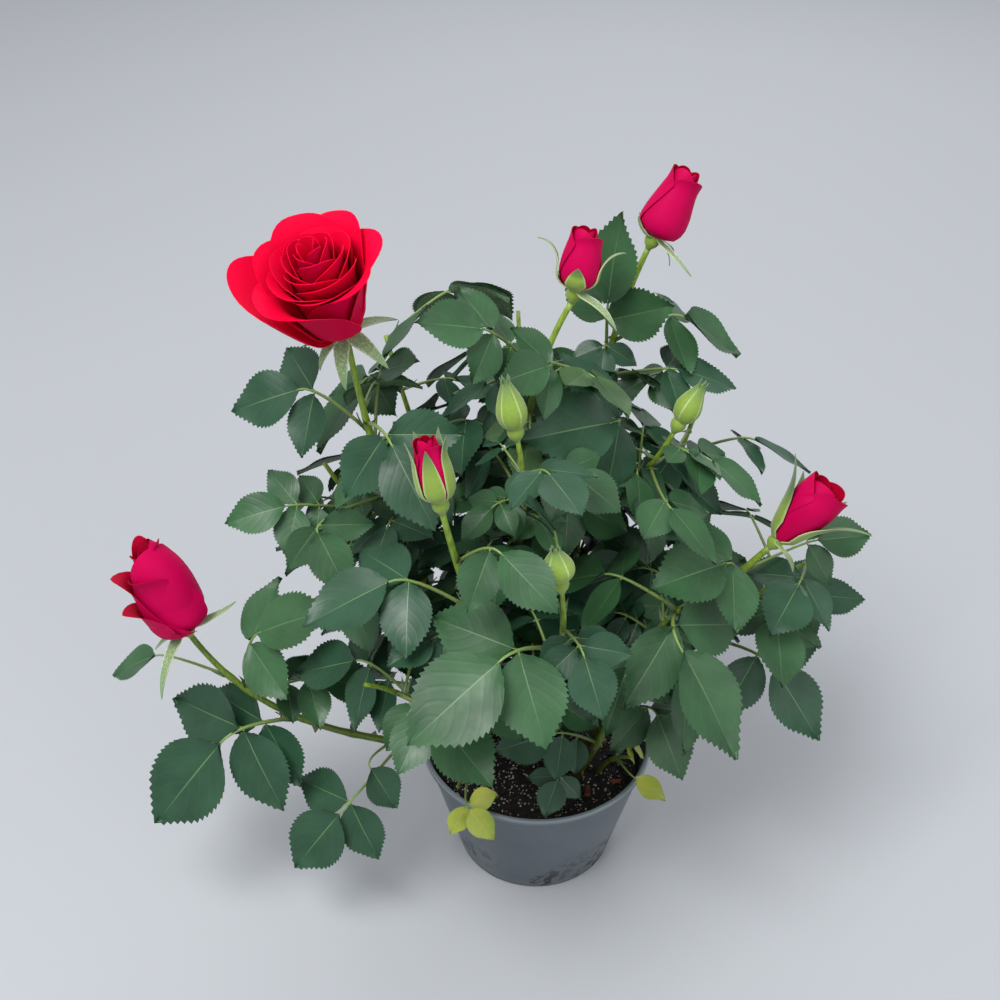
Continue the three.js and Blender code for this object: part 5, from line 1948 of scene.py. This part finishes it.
class Compost:
    """The compost in the pot: a crumbly dome with bark chips, white grains and dry leaf bits."""

    RINGS = 34
    SEGMENTS = 96
    # How many chips, grains and leaf bits are strewn, and their smallest and largest sizes.
    CHIPS = (1100, (1.4, 5.2))
    GRAINS = (1500, (0.45, 1.4))
    LEAF_BITS = (34, (4.0, 8.0))
    # The scale, offset and height of each layer of lumps.
    LUMPS = ((0.11, 3.0, 1.1), (0.32, 8.0, 0.9), (0.9, 5.0, 0.5))

    def __init__(self, pot: Pot) -> None:
        """Takes the pot that holds the compost.

        Args:
            pot: the pot.
        """
        self._pot = pot
        self._series = SeededSeries(4271)

    def _level(self, radius: float) -> float:
        """The height of the compost's smooth surface at a distance from the pot's axis."""
        edge = self._edge()
        share = max(0.0, (radius - SOIL_FLAT_RADIUS) / (edge - SOIL_FLAT_RADIUS))
        return SOIL_LEVEL - SOIL_EDGE_DROP * share * share * (3 - 2 * share)

    def _edge(self) -> float:
        """The radius of the compost at its surface."""
        return self._pot.wall_radius(SOIL_LEVEL - SOIL_EDGE_DROP) - POT_WALL - 0.25

    def _lumps(self, x: float, y: float) -> float:
        """How far crumbs and hollows lift the surface at a place, in millimetres."""
        return sum(high * noise.noise(Vector((x * scale, y * scale, offset)))
                   for scale, offset, high in self.LUMPS)

    def _surface(self, radius: float, bearing: float) -> Vector:
        """The point of the lumpy surface at a radius and bearing."""
        x, y = radius * math.cos(bearing), radius * math.sin(bearing)
        return Vector((x, y, self._level(radius) + self._lumps(x, y)))

    def dress(self, soil: Material, bark: Material, grain: Material, dry: Material) -> list[Object]:
        """Builds the compost and what lies on it.

        Args:
            soil: finish of the compost.
            bark: finish of the bark chips.
            grain: finish of the white grains.
            dry: finish of the dry leaf bits.

        Returns:
            The pieces.
        """
        edge = self._edge()
        radii = [edge * i / self.RINGS for i in range(self.RINGS + 1)]
        floor = POT_FLOOR + GAP
        bottom = self._pot.wall_radius(floor) - POT_WALL - 0.3
        bm = spun((*((radius, self._level(radius)) for radius in radii), (bottom, floor),
                   (0, floor)), self.SEGMENTS)
        for vertex in bm.verts:
            radius = vertex.co.xy.length
            if vertex.co.z > SOIL_LEVEL - SOIL_EDGE_DROP - 0.5 and radius < edge - 0.6:
                vertex.co.z += self._lumps(vertex.co.x, vertex.co.y)
        pile = JoinedShapes()
        for finish, (shape, (count, sizes)) in enumerate((
                (self._chip(), self.CHIPS), (self._bead(), self.GRAINS),
                (self._chip(), self.LEAF_BITS))):
            self._scatter(pile, shape, count, sizes, finish)
        return [settle("compost", mesh_from(bm, "compost"), [soil], ["soil"]),
                pile.build("compost_crumbs", [bark, grain, dry], "potting_soil")]

    def _scatter(self, pile: JoinedShapes, shape: SmallShape, count: int,
                 sizes: tuple[float, float], finish: int) -> None:
        """Strews copies of a shape over the surface in drifts, half sunk and turned every way.

        Args:
            pile: the joined shapes that they are added to.
            shape: the shape.
            count: how many places are tried.
            sizes: the smallest and largest size.
            finish: the shape's finish number, which also sets where its drifts lie.
        """
        edge = self._edge()
        for _ in range(count):
            bearing = self._series.between(0, math.tau)
            radius = math.sqrt(self._series.between(0, 1)) * (edge - 2.5)
            drift = noise.noise(about_axis(bearing, radius, 40.0 * finish) * 0.055)
            if drift < self._series.between(-0.45, 0.15):
                continue
            size = self._series.between(*sizes)
            flat = Quaternion(UP, self._series.between(0, math.tau))
            turn = flat @ Quaternion(UNITS[0], self._series.between(-0.6, 0.6))
            origin = self._surface(radius, bearing) + UP * size * 0.06
            pile.add(shape, origin, [turn @ unit * size for unit in UNITS], (finish,) * 4)

    @staticmethod
    def _chip() -> SmallShape:
        """A splinter of bark of unit length."""
        bm = bmesh.new()
        bmesh.ops.create_cube(bm, size=1.0)
        bmesh.ops.scale(bm, vec=(1.0, 0.42, 0.16), verts=bm.verts)
        bmesh.ops.bevel(bm, geom=bm.edges[:], offset=0.04, offset_type="OFFSET", segments=1,
                        profile=0.5, affect="EDGES", material=-1)
        for vertex in bm.verts:
            vertex.co.y += 0.16 * math.sin(vertex.co.x * 5.0)
            vertex.co.z += 0.10 * math.cos(vertex.co.x * 4.0)
            vertex.co.y *= 1.0 - 0.5 * (vertex.co.x + 0.5)
        return SmallShape.taken_from(bm)

    @staticmethod
    def _bead() -> SmallShape:
        """A rounded, knobbly grain of unit size."""
        bm = bmesh.new()
        bmesh.ops.create_icosphere(bm, subdivisions=1, radius=0.5)
        for vertex in bm.verts:
            vertex.co *= 1.0 + 0.25 * noise.noise(vertex.co * 4.0)
        return SmallShape.taken_from(bm)


@dataclass(frozen=True)
class SoftBox:
    """A square studio lamp that faces the plant."""

    name: str
    place: tuple[float, float, float]
    size: float
    power: float
    colour: str = "#ffffff"

    def build(self, target: Vector) -> None:
        """Hangs the lamp and aims it.

        Args:
            target: the point that it faces, in metres.
        """
        lamp = bpy.data.lights.new(self.name, "AREA")
        lamp.shape = "SQUARE"
        lamp.size = self.size
        lamp.energy = self.power
        lamp.color = linear(self.colour)[:3]
        holder = added(self.name, lamp)
        holder.location = self.place
        holder.rotation_euler = (target - Vector(self.place)).to_track_quat("-Z", "Y").to_euler()


class Studio:
    """The pale floor, the soft lamps and the camera."""

    TARGET = Vector((-0.01, 0.0, 0.16))
    LAMPS = (SoftBox("key", (-0.6, -0.75, 1.75), 0.9, 34),
             SoftBox("fill", (1.3, -1.1, 0.9), 1.4, 9),
             SoftBox("back", (0.3, 1.5, 1.3), 1.2, 11))
    FLOOR_HALF = 4.0
    ROOM_COLOUR, ROOM_STRENGTH = "#eef1f6", 0.68
    # The camera that fits the pot's rim and foot: its place, its downward tilt and its lens.
    EYE = (-0.019, -0.519, 0.589)
    TILT = 35.2
    SENSOR, FOCAL_LENGTH = 36.0, 49.45

    def dress(self) -> None:
        """Sets the floor, the light and the camera."""
        self._floor()
        for lamp in self.LAMPS:
            lamp.build(self.TARGET)
        self._room()
        self._camera()

    def _floor(self) -> None:
        """Lays the floor."""
        bm = bmesh.new()
        bmesh.ops.create_grid(bm, x_segments=1, y_segments=1, size=self.FLOOR_HALF)
        mesh = bpy.data.meshes.new("floor")
        bm.to_mesh(mesh)
        bm.free()
        mesh.materials.append(PaleBoard().material())
        added("floor", mesh)

    def _room(self) -> None:
        """Sets the pale light from all round."""
        world = bpy.data.worlds.new("pale room")
        world.use_nodes = True
        light = world.node_tree.nodes["Background"].inputs
        light["Color"].default_value = linear(self.ROOM_COLOUR)
        light["Strength"].default_value = self.ROOM_STRENGTH
        bpy.context.scene.world = world
        bpy.context.scene.view_settings.view_transform = "Standard"

    def _camera(self) -> None:
        """Sets the camera."""
        lens = bpy.data.cameras.new("camera")
        lens.sensor_width = self.SENSOR
        lens.lens = self.FOCAL_LENGTH
        lens.clip_start = 0.01
        camera = added("camera", lens)
        camera.location = self.EYE
        camera.rotation_euler = (math.radians(90 - self.TILT), 0.0, 0.0)
        bpy.context.scene.camera = camera


def leaf_finishes() -> list[Material]:
    """The finishes of the leaves, in the order of their finish numbers."""
    return [finish.material() for finish in (
        LeafCuticle("old leaf cuticle", "#2b4f38", "#20402b", "#3f6548"),
        LeafCuticle("leaf cuticle", "#365d39", "#294a2c", "#4a714b"),
        LeafCuticle("young leaf cuticle", "#43613a", "#364f2e", "#5c7c4c"),
        LeafCuticle("fading leaf cuticle", "#aeb23c", "#71893a", "#bcc070"),
        LeafRib("leaf rib", "#5e7d4a", "#395a40"),
        LeafUnderside("leaf underside", "#4a6648", "#66805c"),
        LeafRib("fading rib", "#b9ae58", "#9a9a45"),
        LeafUnderside("fading underside", "#98985a", "#aaa76c"))]


def flowers() -> list[Object]:
    """The petals of each flower, and the hips and sepals of all of them as one piece."""
    # Each petal finish runs from a painted-shade seat through its own red to a painted-glow lip.
    opened = [PetalVelvet("petal velvet", "#ff0748", "#ff043e", "#e00234").material(),
              PetalVelvet("petal back", "#f4064a", "#e80442", "#cc033e").material()]
    closed = [PetalVelvet("bud velvet", "#e00428", "#c4032c", "#a00228").material(),
              PetalVelvet("bud back", "#d2043c", "#bc0340", "#ba0348").material()]
    felts = [SepalFelt("sepal down", "#6f8a55", "#d3dac4", "#6e8a60", 0.3).material(),
             SepalFelt("sepal skin", "#7b972f", "#b6c68c", "#47683a", 0.07).material()]
    greens = JoinedShapes()
    pieces = []
    for name, plan in HEADS.items():
        bloom = Bloom(name)
        bloom.green_parts(greens)
        if plan.kind is not HeadKind.GREEN:
            pieces.append(bloom.petals(opened if plan.kind is HeadKind.OPEN else closed))
    return pieces + [greens.build("sepals_and_hips", felts, "leaf")]


def main() -> None:
    """Builds the plant from its pot up, then the studio."""
    logging.basicConfig(level=logging.INFO, format="%(name)s: %(message)s")
    # The pot's last colour is its rim's paler top: partly rubbed wear, partly a painted highlight.
    pot = Pot(PotPlastic("slate polypropylene", "#545d64", "#464f56", "#2c241d",
                         "#94a0a6").material())
    pieces = [pot.dress()]
    pieces += Compost(pot).dress(Grit("moist compost", "#19120d", "#060504", 2.2, 0.9).material(),
                                 Grit("bark chip", "#291a11", "#0e0906", 1.4).material(),
                                 Grit("white volcanic grain", "#cfcac0", "#98938a", 0.6).material(),
                                 Grit("dry leaf", "#8a4a30", "#54291a", 3.0).material())
    foliage = Foliage(GrowingRule(frame["nodes"]))
    pieces += foliage.dress(leaf_finishes())
    pieces += Stems(foliage).dress(
        StemSkin("cane bark", "#3b3f14", "#4d5a1b", "#5f7a22", 62, 170, 0.4).material(),
        StemSkin("green stem skin", "#58701a", "#708c20", "#8caa3c", 90, 300, 0.2).material(),
        LeafRib("leaf stalk skin", "#6a7a3c", "#72904a").material(),
        Grit("prickle horn", "#7d6a3c", "#5c4328", 2.0, 0.1, 0.4).material())
    pieces += flowers()
    Studio().dress()
    LOG.info("%d pieces", len(pieces))


if __name__ == "__main__":
    main()
